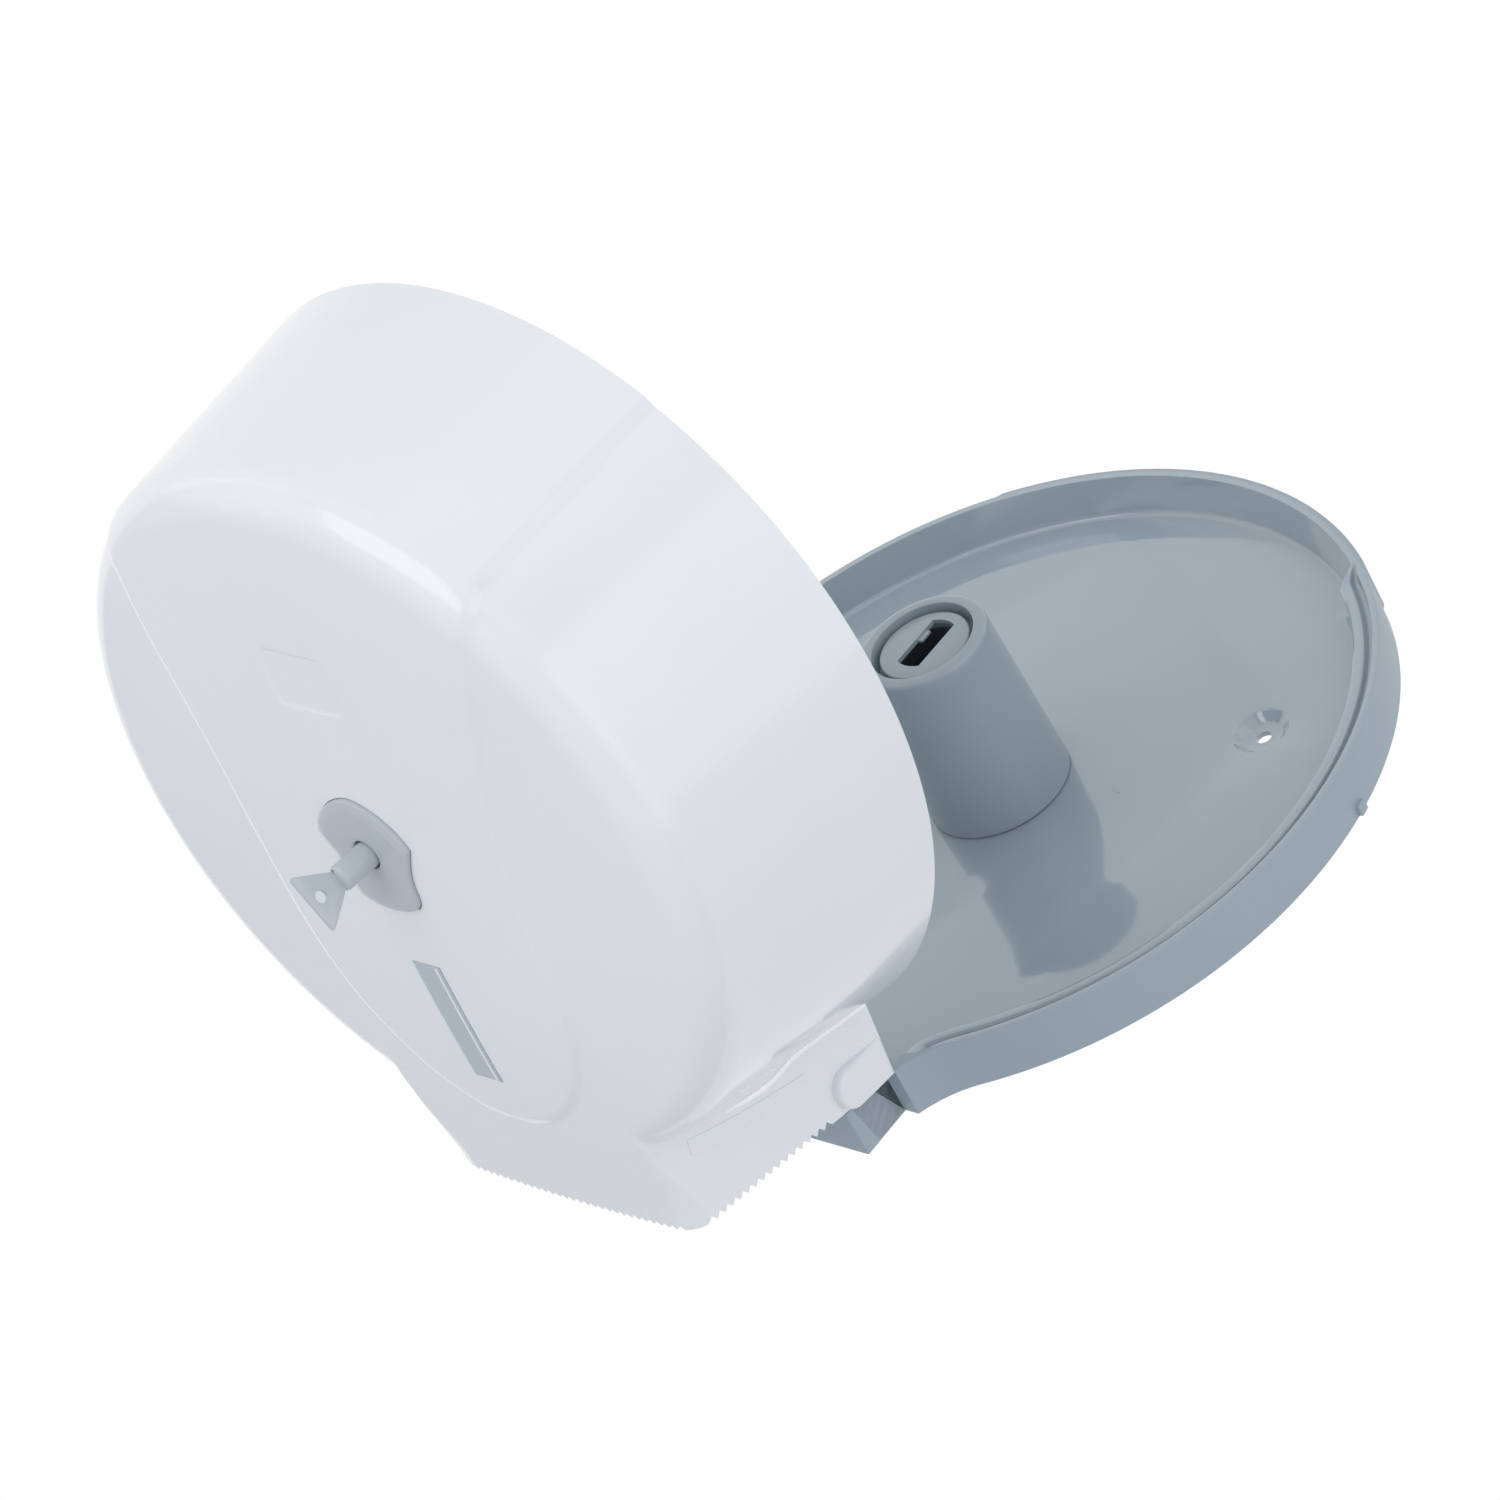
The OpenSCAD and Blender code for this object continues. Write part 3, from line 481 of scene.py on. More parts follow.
def softEdgeCentre():
    reach = wallReach - cover["softEdge"] / draftCos
    inner = cover["domeRadius"] - cover["softEdge"]
    b = reach * draftTan + domeDrop
    a = 1 + draftTan ** 2
    depth = (b + math.sqrt(b * b - a * (reach ** 2 + domeDrop ** 2 - inner ** 2))) / a
    return reach - draftTan * depth, depth


edgeRadius0, edgeDepth0 = softEdgeCentre()
edgeTop = math.atan2(edgeDepth0 - domeDrop, edgeRadius0)
edgeLow = math.radians(cover["draft"])


def domeAt(x, z, rise=0.0):
    return domeDrop + math.sqrt((cover["domeRadius"] + rise) ** 2 - x * x - z * z)


def throatAt(depth, rise=0.0):
    return cover["throatRear"] - (depth - cover["rimDepth"]) * throatTan + rise


def throatEdge(z, rise):
    # centre and radius of the rounding between the throat's front and its side, at one height
    widening = soft((-z - cover["roundFrom"]) / cover["roundOver"])
    throatRound = max(mix(cover["throatRound"], cover["mouthRound"], widening) + rise, 0.6)
    lean = math.atan(throatTan)
    slack = cover["throatRear"] + rise + cover["rimDepth"] * throatTan - throatRound / math.cos(lean)
    inner = cover["domeRadius"] + rise - throatRound
    a = 1 + throatTan ** 2
    b = slack * throatTan + domeDrop
    depth = (b + math.sqrt(max(b * b - a * (slack ** 2 + domeDrop ** 2 + z * z - inner ** 2), 0))) / a
    return slack - throatTan * depth, depth, lean, throatRound


def creaseAngle(radius, depth, rise):
    # where the round wall runs out into the throat's side
    return math.pi - math.asin(throatAt(depth, rise) / radius)


def creaseEase(t):
    # below the crease the skin leaves the round wall's line over the first fifth of the way
    return soft(t * 5)


def resample(points, fractions):
    lengths = [0.0]
    for a, b in zip(points, points[1:]):
        lengths.append(lengths[-1] + math.dist(a, b))
    out = []
    for fraction in fractions:
        want = fraction * lengths[-1]
        i = 1
        while i < len(lengths) - 1 and lengths[i] < want:
            i += 1
        t = clamp((want - lengths[i - 1]) / max(lengths[i] - lengths[i - 1], 1e-9))
        out.append(tuple(mix(p, q, t) for p, q in zip(points[i - 1], points[i])))
    return out


def smoothLine(points, per=6):
    # a smooth line through the points
    line = []
    for i in range(len(points) - 1):
        p = [points[max(i - 1, 0)], points[i], points[i + 1], points[min(i + 2, len(points) - 1)]]
        for k in range(per):
            t = k / per
            line.append(tuple(0.5 * (2 * b + (c - a) * t + (2 * a - 5 * b + 4 * c - d) * t * t
                                     + (3 * b - a - 3 * c + d) * t ** 3) for a, b, c, d in zip(*p)))
    return line + [points[-1]]


panelLine = smoothLine(panelSide)
# the mesh's rings follow the line from the place beside the lock at this radius
turnRadius = 61.5
turnPoint = min((p for p in panelLine if p[1] >= 0), key=lambda p: abs(math.hypot(*p) - turnRadius))
turnIndex = panelLine.index(turnPoint)
upperSide = list(reversed(panelLine[:turnIndex + 1]))   # from the turn up to the corner
lowerSide = panelLine[turnIndex:]                       # from the turn down to the foot
upperShare = 0.855                                      # of the upper side lies on the dome
upperTop = resample(upperSide, [upperShare])[0]


def sideDistance(x, z):
    # distance to the band's side line in the front view, positive inside
    best, sign = 1e9, 1
    for (ax, az), (bx, bz) in zip(panelLine, panelLine[1:]):
        dx, dz = bx - ax, bz - az
        t = clamp(((x - ax) * dx + (z - az) * dz) / (dx * dx + dz * dz))
        px, pz = x - ax - t * dx, z - az - t * dz
        d = math.hypot(px, pz)
        if d < best:
            best, sign = d, 1 if dx * pz - dz * px < 0 else -1
    return best * sign


def spread(count, near=0.0, far=0.0, fine=0.35, within=0.12):
    # fractions from 0 to 1 that are closer together near either end
    steps = []
    for i in range(count):
        t = (i + 0.5) / count
        steps.append(1 - (1 - fine) * (near * max(0, 1 - t / within) + far * max(0, 1 - (1 - t) / within)))
    total, out, run = sum(steps), [0.0], 0.0
    for step in steps:
        run += step / total
        out.append(run)
    return out


# the skin's columns run round in four parts: over the band, down to the crease, down the throat's side
# and across the throat's front
skinColumns = [spread(44, far=1), spread(118, near=1), spread(26), spread(26)]
partShares = [0, 0.62, 0.80, 1.0]  # of the lower side line, at the ends of the last three parts
# shares of the way out to the band's side, steps in mm across it, shares of the way on to the dome's end,
# and the numbers of rows on the soft edge and the wall
outerRings = {
    "within": [0, .06, .14, .22, .30, .38, .46, .54, .62, .69, .76, .82, .87, .91],
    "across": [-3.0, -2.2, -1.6, -1.0, -0.5, 0, 0.5, 1.0, 1.6, 2.2, 3.0],
    "beyond": [.10, .17, .24, .31, .38, .45, .52, .59, .66, .73, .80, .86, .91, .96],
    "edge": 12, "wall": 18,
}
innerRings = {
    "within": [0, .15, .279, .281, .45, .62, .8],
    "across": [0],
    "beyond": [.15, .3, .45, .6, .75, .9],
    "edge": 7, "wall": 12,
}


def around(radius, angle):
    return (radius * math.sin(angle), radius * math.cos(angle))


def ringPoint(part, t):
    # where a column crosses the ring through the turn point, in the front view
    if part == 0:
        return around(math.hypot(*turnPoint), math.atan2(*turnPoint) * t)
    return resample(lowerSide, [mix(partShares[part - 1], partShares[part], t)])[0]


def domeEndPoint(part, t, domeEnd, rise):
    # where a column leaves the dome, in the front view
    if part == 0:
        return around(domeEnd, bandAngles["dome"] * t)
    crease = creaseAngle(domeEnd, domeAt(domeEnd, 0, rise), rise)
    if part == 1:
        return around(domeEnd, mix(bandAngles["dome"], crease, t))
    creaseX, creaseZ = around(domeEnd, crease)
    if part == 3:
        return (throatEdge(-cover["spareDrop"], rise)[0] * (1 - t), -cover["spareDrop"])
    z = mix(creaseZ, -cover["spareDrop"], t)
    x, depth, lean, throatRound = throatEdge(z, rise)
    full = x + throatRound * math.cos(math.pi / 2 - math.asin(x / cover["domeRadius"]))
    return (mix(creaseX, full, creaseEase(t)), z)


def skinSpokes(part, t, domeEnd, rise, rings):
    # a column's places on the dome, in the front view
    ring = Vector(ringPoint(part, t))
    start = Vector(around(cover["lockHole"], math.atan2(*ring)))
    outward = Vector(domeEndPoint(part, t, domeEnd, rise)) - ring
    spokes = [start + (ring - start) * share for share in rings["within"]]
    for step in rings["across"]:
        way = (ring - start) if step <= 0 else outward
        spokes.append(ring + way.normalized() * step)
    bend = [t, 1 - t, 0, 0][part]
    for share in rings["beyond"]:
        spoke = ring + outward * share
        if bend > 0:
            curve = Vector(resample(upperSide, [share * upperShare])[0])
            chord = Vector(turnPoint) + (Vector(upperTop) - Vector(turnPoint)) * share
            spoke += (curve - chord) * bend
        spokes.append(spoke)
    return spokes


def skinRows(rise, rings):
    # columns of points from the lock hole out over the dome, the soft edge and the wall to the rim
    edgeR = cover["softEdge"] + rise
    domeEnd = edgeRadius0 + edgeR * math.cos(edgeTop)
    cornerR = edgeRadius0 + edgeR * math.cos(edgeLow)
    cornerDepth = edgeDepth0 + edgeR * math.sin(edgeLow)
    rimR = cover["rimRadius"] + rise / draftCos
    columns = [(part, t) for part in range(4) for t in skinColumns[part][:-1]] + [(3, 1.0)]
    grid = []
    for part, t in columns:
        spokes = skinSpokes(part, t, domeEnd, rise, rings)
        column = [(p.x, p.y, domeAt(p.x, p.y, rise), "dome") for p in spokes]
        for k in range(rings["edge"] + 1):
            along = k / rings["edge"]
            angle = mix(edgeTop, edgeLow, along)
            radius = edgeRadius0 + edgeR * math.cos(angle)
            depth = edgeDepth0 + edgeR * math.sin(angle)
            column.append(sidePoint(part, t, radius, depth, along, rise, "edge"))
        for k in range(1, rings["wall"] + 1):
            along = k / rings["wall"]
            radius, depth = mix(cornerR, rimR, along), mix(cornerDepth, cover["rimDepth"], along)
            column.append(sidePoint(part, t, radius, depth, along, rise, "wall"))
        grid.append(column)
    return grid


def sidePoint(part, t, radius, depth, along, rise, zone):
    start, finish = ("dome", "corner") if zone == "edge" else ("corner", "rim")
    bandAngle = mix(bandAngles[start], bandAngles[finish], along)
    crease = creaseAngle(radius, depth, rise)
    if part < 2:
        angle = bandAngle * t if part == 0 else mix(bandAngle, crease, t)
        return around(radius, angle) + (depth, zone)
    z = mix(radius * math.cos(crease), -cover["spareDrop"], t) if part == 2 else -cover["spareDrop"]
    x0, depth0, lean, throatRound = throatEdge(z, rise)
    # the wall starts behind the end of the rounding, so that the skin never folds back
    arcEnd = depth0 + throatRound * math.sin(lean)
    corner = edgeDepth0 + (cover["softEdge"] + rise) * math.sin(edgeLow)
    wallStart = min(corner, arcEnd - 1.0)
    if zone == "edge" and along <= 0.5:
        top = math.pi / 2 - math.asin(x0 / cover["domeRadius"])
        angle = mix(top, lean, along * 2)
        fullX, fullDepth = x0 + throatRound * math.cos(angle), depth0 + throatRound * math.sin(angle)
    else:
        fullDepth = mix(arcEnd, wallStart, (along - 0.5) * 2) if zone == "edge" else \
            mix(wallStart, cover["rimDepth"], along)
        fullX = throatAt(fullDepth, rise)
    ease = creaseEase(t) if part == 2 else 1.0
    x, depth = mix(throatAt(depth, rise), fullX, ease), mix(depth, fullDepth, ease)
    if part == 3:
        x *= 1 - t
    return (x, z, depth, zone)


def bandLift(x, z, depth, zone):
    # rise of the raised band, with a soft step along its side
    if zone == "dome":
        s = sideDistance(abs(x), z)
    else:
        angle, radius = math.atan2(abs(x), z), math.hypot(x, z)
        frontMost = edgeDepth0 + cover["softEdge"] * math.sin(edgeTop)
        if depth > edgeDepth0:
            share = (depth - edgeDepth0) / (frontMost - edgeDepth0)
            limit = mix(bandAngles["corner"], bandAngles["dome"], share)
            s = (limit - angle) * radius * cover["bandEdgeSkew"]
        else:
            share = (depth - cover["rimDepth"]) / (edgeDepth0 - cover["rimDepth"])
            limit = mix(bandAngles["rim"], bandAngles["corner"], share)
            s = (limit - angle) * radius
    return cover["bandRise"] * soft(s / cover["bandStep"] + 0.5)


def surfaceNormal(x, z, depth, zone):
    if zone == "dome":
        return Vector((x, -(depth - domeDrop), z)).normalized()
    radius = math.hypot(x, z)
    if zone == "edge":
        a = math.atan2(depth - edgeDepth0, radius - edgeRadius0)
    else:
        a = edgeLow
    return Vector((x / radius * math.cos(a), -math.sin(a), z / radius * math.cos(a)))


def makeCover():
    outer = skinRows(0.0, outerRings)
    inner = skinRows(-cover["wall"], innerRings)
    halfRows = []
    for column in outer:
        points = []
        for x, z, depth, zone in column:
            p = Vector((x, -depth, z))
            if z > cover["bandLow"]:
                p += surfaceNormal(x, z, depth, zone) * bandLift(x, z, depth, zone)
            points.append(p)
        halfRows.append(points)
    for column, points in zip(inner, halfRows):
        for x, z, depth, zone in reversed(column):
            if zone == "dome" and math.hypot(x, z) < cover["seatRadius"]:
                depth = cover["seatDepth"]
            if (math.hypot(depth - hang["hingeDepth"], z + hang["hingeDrop"]) < earRelief["reach"]
                    and x > earRelief["beyond"]):
                x = max(x, earRelief["inner"])
            points.append(Vector((x, -depth, z)))
        points.append(points[0])
    # columns of one half, then the mirrored half back up to the top
    mirrored = [[Vector((-p.x, p.y, p.z)) for p in column] for column in reversed(halfRows[1:-1])]
    allColumns = halfRows + mirrored
    rows = [[column[i] for column in allColumns] for i in range(len(allColumns[0]))]
    shell = loftSkin("coverShell", rows)
    focus(shell)
    bpy.ops.object.mode_set(mode="EDIT")
    bpy.ops.mesh.select_all(action="SELECT")
    bpy.ops.mesh.bisect(plane_co=(0, 0, -cover["mouthDrop"] * mm), plane_no=(0, 0, -1), use_fill=True,
                        clear_outer=True)
    bpy.ops.object.mode_set(mode="OBJECT")
    faceOutwards(shell)
    return shell


coverShell = makeCover()
print("cover shell:", len(coverShell.data.polygons), "faces")

# the tear-off teeth, the window opening, the tile and the seat of the shield are cut into the shell
clearDepth = 126.0  # in front of the whole cover
teeth = {"pitch": 3.2, "height": 2.0, "frontHalf": 50.7, "frontFrom": 95.9, "frontTo": 124.0,
         "sideStart": 46.0, "sideEnd": 98.6, "sideReach": 90.0}
levelWindow = {"halfWidth": 6.25, "top": -43.5, "low": -91.0, "proud": 0.4, "ledge": 2.0, "gap": 0.12,
               "cutFrom": 100.0}
# a light strip on the pane's right side, a painted highlight of the pane's bevel
paneHighlightRail = {"left": 2.3, "right": 1.3, "short": 0.6, "proud": 0.2, "thick": 0.9}
tile = {"width": 29.0, "height": 20.0, "middle": 61.0, "depth": 0.4, "round": 3.0}
shield = {"width": 20.0, "top": 19.5, "foot": 21.3, "back": 115.6, "face": 119.1, "slope": 3.0, "seam": 0.3,
          "hole": 5.1, "shoulder": 4.7, "waist": -11.5}


def toothLine(start, end):
    count = int((end - start) / teeth["pitch"])
    points = [(start, -teeth["height"])]
    for i in range(count):
        points += [(start + i * teeth["pitch"], 0), (start + (i + 0.5) * teeth["pitch"], teeth["height"])]
    stop = start + count * teeth["pitch"]
    points += [(stop, 0), (stop, -teeth["height"])]
    return [(a, z - cover["mouthDrop"]) for a, z in points]


def shieldOutline(margin=0.0):
    w, foot = shield["width"], shield["foot"]
    shoulder, waist = (w + margin, shield["shoulder"]), (w * 0.7 + margin, shield["waist"])
    corner = (w * 0.47 + margin, 1.6 - foot - margin)
    top, low = (0, shield["top"] + margin), (0, -foot - margin)
    half = (curvePoints(top, (9, top[1] - 0.5), (shoulder[0] - 2.4, shoulder[1] + 7.3), shoulder, 18)
            + curvePoints(shoulder, (shoulder[0] - 2.4, 0.0), (waist[0] + 0.2, -6.0), waist, 12)
            + curvePoints(waist, (waist[0] - 0.1, -16.0), (corner[0] + 3.6, corner[1] + 0.8), corner, 10)
            + curvePoints(corner, (corner[0] - 2.9, corner[1] - 1.1), (2.5, low[1]), low, 6))
    return half + [low] + [(-x, z) for x, z in reversed(half[1:])]


def tileOutline(margin):
    w, h, r = tile["width"] / 2 - margin, tile["height"] / 2 - margin, max(tile["round"] - margin, 0.8)
    points = []
    for sx, sz, turn in ((1, 1, 0), (-1, 1, 90), (-1, -1, 180), (1, -1, 270)):
        points += arcPoints(sx * (w - r), tile["middle"] + sz * (h - r), r, turn, turn + 90, 7)
    return points


def tileCutter():
    # rings from the recess's floor up its soft border and out of the cover
    rows = []
    depth = tile["depth"]
    for margin, lift in ((8, -depth), (4.5, -depth), (2.2, -depth), (1.3, -depth), (0.9, -0.94 * depth),
                         (0.5, -0.6 * depth), (0.15, -0.2 * depth), (-0.15, 0), (-0.5, 0.06), (-0.5, 3)):
        rows.append([(x, -(domeAt(x, z) + cover["bandRise"] + lift), z) for x, z in tileOutline(margin)])
    return fillEnds(loftSkin("tileCutter", rows))


windowHalf, windowLow, windowTop = levelWindow["halfWidth"], levelWindow["low"], levelWindow["top"]
openings = [
    outlineSlab("frontTeeth", toothLine(-teeth["frontHalf"], teeth["frontHalf"]),
                teeth["frontFrom"], teeth["frontTo"]),
    outlineSlab("sideTeeth", toothLine(teeth["sideStart"], teeth["sideEnd"]),
                -teeth["sideReach"], teeth["sideReach"], sideways=True),
    outlineSlab("windowOpening", [(-windowHalf, windowLow), (windowHalf, windowLow), (windowHalf, windowTop),
                                  (-windowHalf, windowTop)], levelWindow["cutFrom"], clearDepth),
    outlineSlab("shieldSeat", shieldOutline(shield["seam"]), shield["back"], clearDepth),
    tileCutter(),
]
for opening in openings:
    cut(coverShell, opening)
print("cover openings cut:", len(coverShell.data.polygons), "faces")

# the pads over the hinge ears, with their soft fronts
ear = {"inner": 59.3, "outer": 65.4, "front": 42.0, "rear": 19.5, "low": -147.0, "high": -132.4, "round": 6.6}
roundMiddle = ear["front"] - ear["round"]
earView = [(ear["rear"], ear["low"])]
earView += arcPoints(roundMiddle, ear["low"] + ear["round"], ear["round"], -90, 0, 9)
earView += arcPoints(roundMiddle, ear["high"] - ear["round"], ear["round"], 0, 90, 9)
earView.append((ear["rear"], ear["high"]))
earPieces = []
for name, low, high in (("earPadRight", ear["inner"], ear["outer"]),
                        ("earPadLeft", -ear["outer"], -ear["inner"])):
    pad = outlineSlab(name, earView, low, high, bevel=1.5, segments=5, sideways=True)
    smoothPiece(settle(pad, openTurn), 40)
    earPieces.append(pad)

# the slender raised strip that runs along each side of the throat, beside its edge
strip = {
    "proud": 0.4, "sunk": 1.0, "bevel": 0.25,
    "low": [(93.7, -122.5), (84.1, -124.9), (72.6, -126.4), (62.8, -126.9), (54.8, -126.9), (47.5, -125.9)],
    "high": [(93.1, -116.8), (84.9, -118.9), (74.6, -121.2), (64.0, -123.0), (54.8, -124.4), (48.3, -125.1)],
}
stripView = strip["low"] + list(reversed(strip["high"]))


def throatSurface(depth, z):
    # how far out the shell's right-hand side lies at a place in the side view
    found, place, normal, face = coverShell.ray_cast(Vector((0.1, -depth * mm, z * mm)), Vector((-1, 0, 0)))
    return place.x / mm if found else throatAt(depth)


def throatStrip(name, side):
    # a thin plate with soft edges, leaned over to lie on the throat's side
    piece = outlineSlab(name, stripView, -strip["sunk"], strip["proud"], bevel=strip["bevel"], sideways=True)
    for vertex in piece.data.vertices:
        vertex.co.x = side * (vertex.co.x + throatSurface(-vertex.co.y / mm, vertex.co.z / mm) * mm)
    faceOutwards(piece)
    return piece


# the crest: a fine wavy bead just under the line where the wall runs out into the throat's side
crest = {
    "radius": 1.2, "sink": 0.35, "fineEnd": 0.3, "sides": 12,
    "line": [(77.6, -118.0), (69.3, -119.3), (64.5, -119.9), (60.5, -120.0), (57.4, -119.6), (54.5, -118.9),
             (50.5, -118.1), (45.0, -118.0), (38.2, -118.2), (31.5, -118.7), (25.5, -119.1), (20.4, -119.5)],
}


def throatCrest(name, side):
    rows = []
    line = crest["line"]
    for i, (depth, z) in enumerate(line):
        before, after = line[max(i - 1, 0)], line[min(i + 1, len(line) - 1)]
        along = Vector((after[0] - before[0], after[1] - before[1])).normalized()
        radius = crest["radius"] * (crest["fineEnd"] if i == 0 else 1.0)
        middle = throatSurface(depth, z) - crest["sink"]
        row = []
        for k in range(crest["sides"]):
            a = math.tau * k / crest["sides"]
            d, h = depth - along.y * math.cos(a) * radius, z + along.x * math.cos(a) * radius
            row.append((side * (middle + math.sin(a) * radius), -d, h))
        rows.append(row)
    return fillEnds(loftSkin(name, rows))


stripPieces = [throatStrip("throatStripRight", 1), throatStrip("throatStripLeft", -1)]
crestPieces = [throatCrest("throatCrestRight", 1), throatCrest("throatCrestLeft", -1)]
for piece in stripPieces + crestPieces:
    smoothPiece(settle(piece, openTurn), 30)

settle(coverShell, openTurn)
smoothPiece(coverShell, 30)
for piece in [coverShell] + earPieces + stripPieces + crestPieces:
    finishPiece(piece, "cover_white")
    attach(piece, "cover")
# the crest beads get a brighter white as a painted highlight
for piece in crestPieces:
    piece.data.materials[0] = finishes["crest_painted_highlight"]
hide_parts("cover_shell")
print("ear pads and throat strips set")


def windowLayer(name, left, right, low, high, rise, thick, bevel):
    # a strip that follows the crown of the cover
    bpy.ops.mesh.primitive_grid_add(x_subdivisions=8, y_subdivisions=28, size=1)
    layer = startPiece(name)
    for vertex in layer.data.vertices:
        x, z = mix(left, right, vertex.co.x + 0.5), mix(low, high, vertex.co.y + 0.5)
        vertex.co = Vector((x, -(domeAt(x, z) + rise), z)) * mm
    focus(layer)
    bpy.ops.object.mode_set(mode="EDIT")
    bpy.ops.mesh.select_all(action="SELECT")
    bpy.ops.mesh.extrude_region_move(TRANSFORM_OT_translate={"value": (0, thick * mm, 0)})
    bpy.ops.object.mode_set(mode="OBJECT")
    cleanPiece(layer)
    applyModifier(layer, "BEVEL", width=bevel * mm, segments=2, limit_method="ANGLE",
                  angle_limit=math.radians(50))
    return layer


def windowPane():
    # the pane in its opening, with a wider ledge behind the shell
    layers = []
    for name, grow, rise, thick, bevel in (
            ("windowPane", -levelWindow["gap"], cover["bandRise"] + levelWindow["proud"], 5.6, 0.5),
            ("windowLedge", levelWindow["ledge"], -cover["wall"] - 0.05, 1.5, 0.3)):
        layers.append(windowLayer(name, -windowHalf - grow, windowHalf + grow, windowLow - grow,
                                  windowTop + grow, rise, thick, bevel))
    return joinPieces(*layers)


# the light strip laid on the pane is a painted highlight of the pane's bevel
highlightRail = windowLayer("paneHighlightRail", windowHalf - paneHighlightRail["left"], windowHalf - paneHighlightRail["right"],
                   windowLow + paneHighlightRail["short"], windowTop - paneHighlightRail["short"],
                   cover["bandRise"] + levelWindow["proud"] + paneHighlightRail["proud"], paneHighlightRail["thick"], 0.2)
smoothPiece(settle(highlightRail, openTurn), 25)
finishPiece(highlightRail, "cover_white")
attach(highlightRail, "cover")
pane = windowPane()
smoothPiece(settle(pane, openTurn), 25)
finishPiece(pane, "window_smoke")
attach(pane, "cover")
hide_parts("level_window")


def shieldPlate():
    # rings from the back of the outline over its sloped border to the hole for the key
    def drawnIn(inset):
        return [(x * (1 - inset / math.hypot(x, z)), z * (1 - inset / math.hypot(x, z))) for x, z in outline]

    outline = shieldOutline()
    border = shield["slope"]
    face = shield["face"]
    rows = []
    for inset, depth in ((0, shield["back"]), (0, face - 1.25), (0.08, face - 0.95), (0.3, face - 0.7),
                         (0.7, face - 0.55), (border * 0.6, face - 0.28), (border - 0.35, face - 0.1),
                         (border, face), (border + 0.6, face), (border + 3, face)):
        rows.append([(x, -depth, z) for x, z in drawnIn(inset)])
    for radius, depth in ((shield["hole"] + 1.0, face), (shield["hole"] + 0.4, face - 0.05),
                          (shield["hole"] + 0.1, face - 0.25), (shield["hole"], face - 0.6),
                          (shield["hole"], shield["back"])):
        rows.append([(x / math.hypot(x, z) * radius, -depth, z / math.hypot(x, z) * radius)
                     for x, z in outline])
    rows.append(rows[0])
    return loftSkin("lockShield", rows)


shieldPiece = shieldPlate()
smoothPiece(settle(shieldPiece, openTurn), 30)
finishPiece(shieldPiece, "lock_grey")
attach(shieldPiece, "cover")
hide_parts("lock_shield")
print("window and shield set")

# the key: a round stem with a square driver behind it and a fan-shaped bow with a thick border
key = {
    "stem": 4.4, "back": 110.6, "tip": 131.6, "driver": 5.8, "driverBack": 101.6, "lean": 31.0,
    "width": 21.5, "length": 12.5, "thick": 2.6, "hole": 2.0, "border": 2.1, "slope": 0.35, "sink": 0.5,
}


def keyPiece():
    tip, back, radius = key["tip"], key["back"], key["stem"]
    stem = profileSpin("keyStem", [(0, back), (radius - 0.3, back), (radius, back + 0.3), (radius, tip - 1.6),
                                   (radius - 0.2, tip - 0.9), (radius - 0.7, tip - 0.35), (radius - 1.5, tip),
                                   (0, tip)], steps=64)
    driver = block("keyDriver", (-key["driver"] / 2, -back - 0.5, -key["driver"] / 2),
                   (key["driver"] / 2, -key["driverBack"], key["driver"] / 2), bevel=0.4)
    width, length, root = key["width"], key["length"], radius - 0.5
    bowView = [(tip - 3, -root), (tip, -root), (tip + length * 0.25, -width * 0.27),
               (tip + length * 0.55, -width * 0.37), (tip + length - 2.2, -width * 0.465),
               (tip + length - 0.9, -width * 0.49), (tip + length - 0.1, -width * 0.45),
               (tip + length, -width * 0.3), (tip + length, 0)]
    bowView += [(d, -z) for d, z in reversed(bowView[:-1])]
    bow = outlineSlab("keyBow", bowView, -key["thick"] / 2, key["thick"] / 2, sideways=True)
    focus(bow)
    bpy.ops.object.mode_set(mode="EDIT")
    bpy.ops.mesh.select_all(action="DESELECT")
    bpy.ops.object.mode_set(mode="OBJECT")
    for face in bow.data.polygons:
        face.select = abs(face.normal.x) > 0.9
    bpy.ops.object.mode_set(mode="EDIT")
    bpy.ops.mesh.select_mode(type="FACE")
    bpy.ops.mesh.inset(thickness=key["border"] * mm, depth=0)
    bpy.ops.mesh.inset(thickness=key["slope"] * mm, depth=-key["sink"] * mm)
    bpy.ops.object.mode_set(mode="OBJECT")
    applyModifier(bow, "BEVEL", width=0.28 * mm, segments=3, limit_method="ANGLE",
                  angle_limit=math.radians(30))
    cut(bow, crossBar("bowHole", -4, 4, tip + length * 0.62, 0, key["hole"]))
    for part in (driver, bow):
        settle(part, Matrix.Rotation(math.radians(-key["lean"]), 4, "Y"))
    cut(stem, rod("stemDimple", -0.9, 3.0, 0.75, tip - 1.1, tip + 1))
    return joinPieces(stem, driver, bow)


keyWhole = keyPiece()
keyWhole.name = keyWhole.data.name = "turnKey"
smoothPiece(settle(keyWhole, openTurn), 32)
finishPiece(keyWhole, "lock_grey")
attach(keyWhole, "key")
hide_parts("key")
print("key set")

# the back plate: one cross-section carried round its outline, changing from the plain wall along the top
# to rim, groove and ridge down the sides and to the bare rim over the throat
plate = {
    "radius": 135.0, "flareRadius": 40.0, "flareAngle": 54.69, "throatDrop": 127.0,
    "bandAngle": 36.5, "bareAngle": 76.0, "bandRise": 1.0, "bandWall": 1.2, "bandStep": 3.2,
    "ridgeEase": 8.0, "ridgeEnd": -116.0, "endEase": 5.0, "endFrom": -90.0,
    "floorDepth": 5.1, "hubRadius": 20.0, "sunk": 0.01,
}
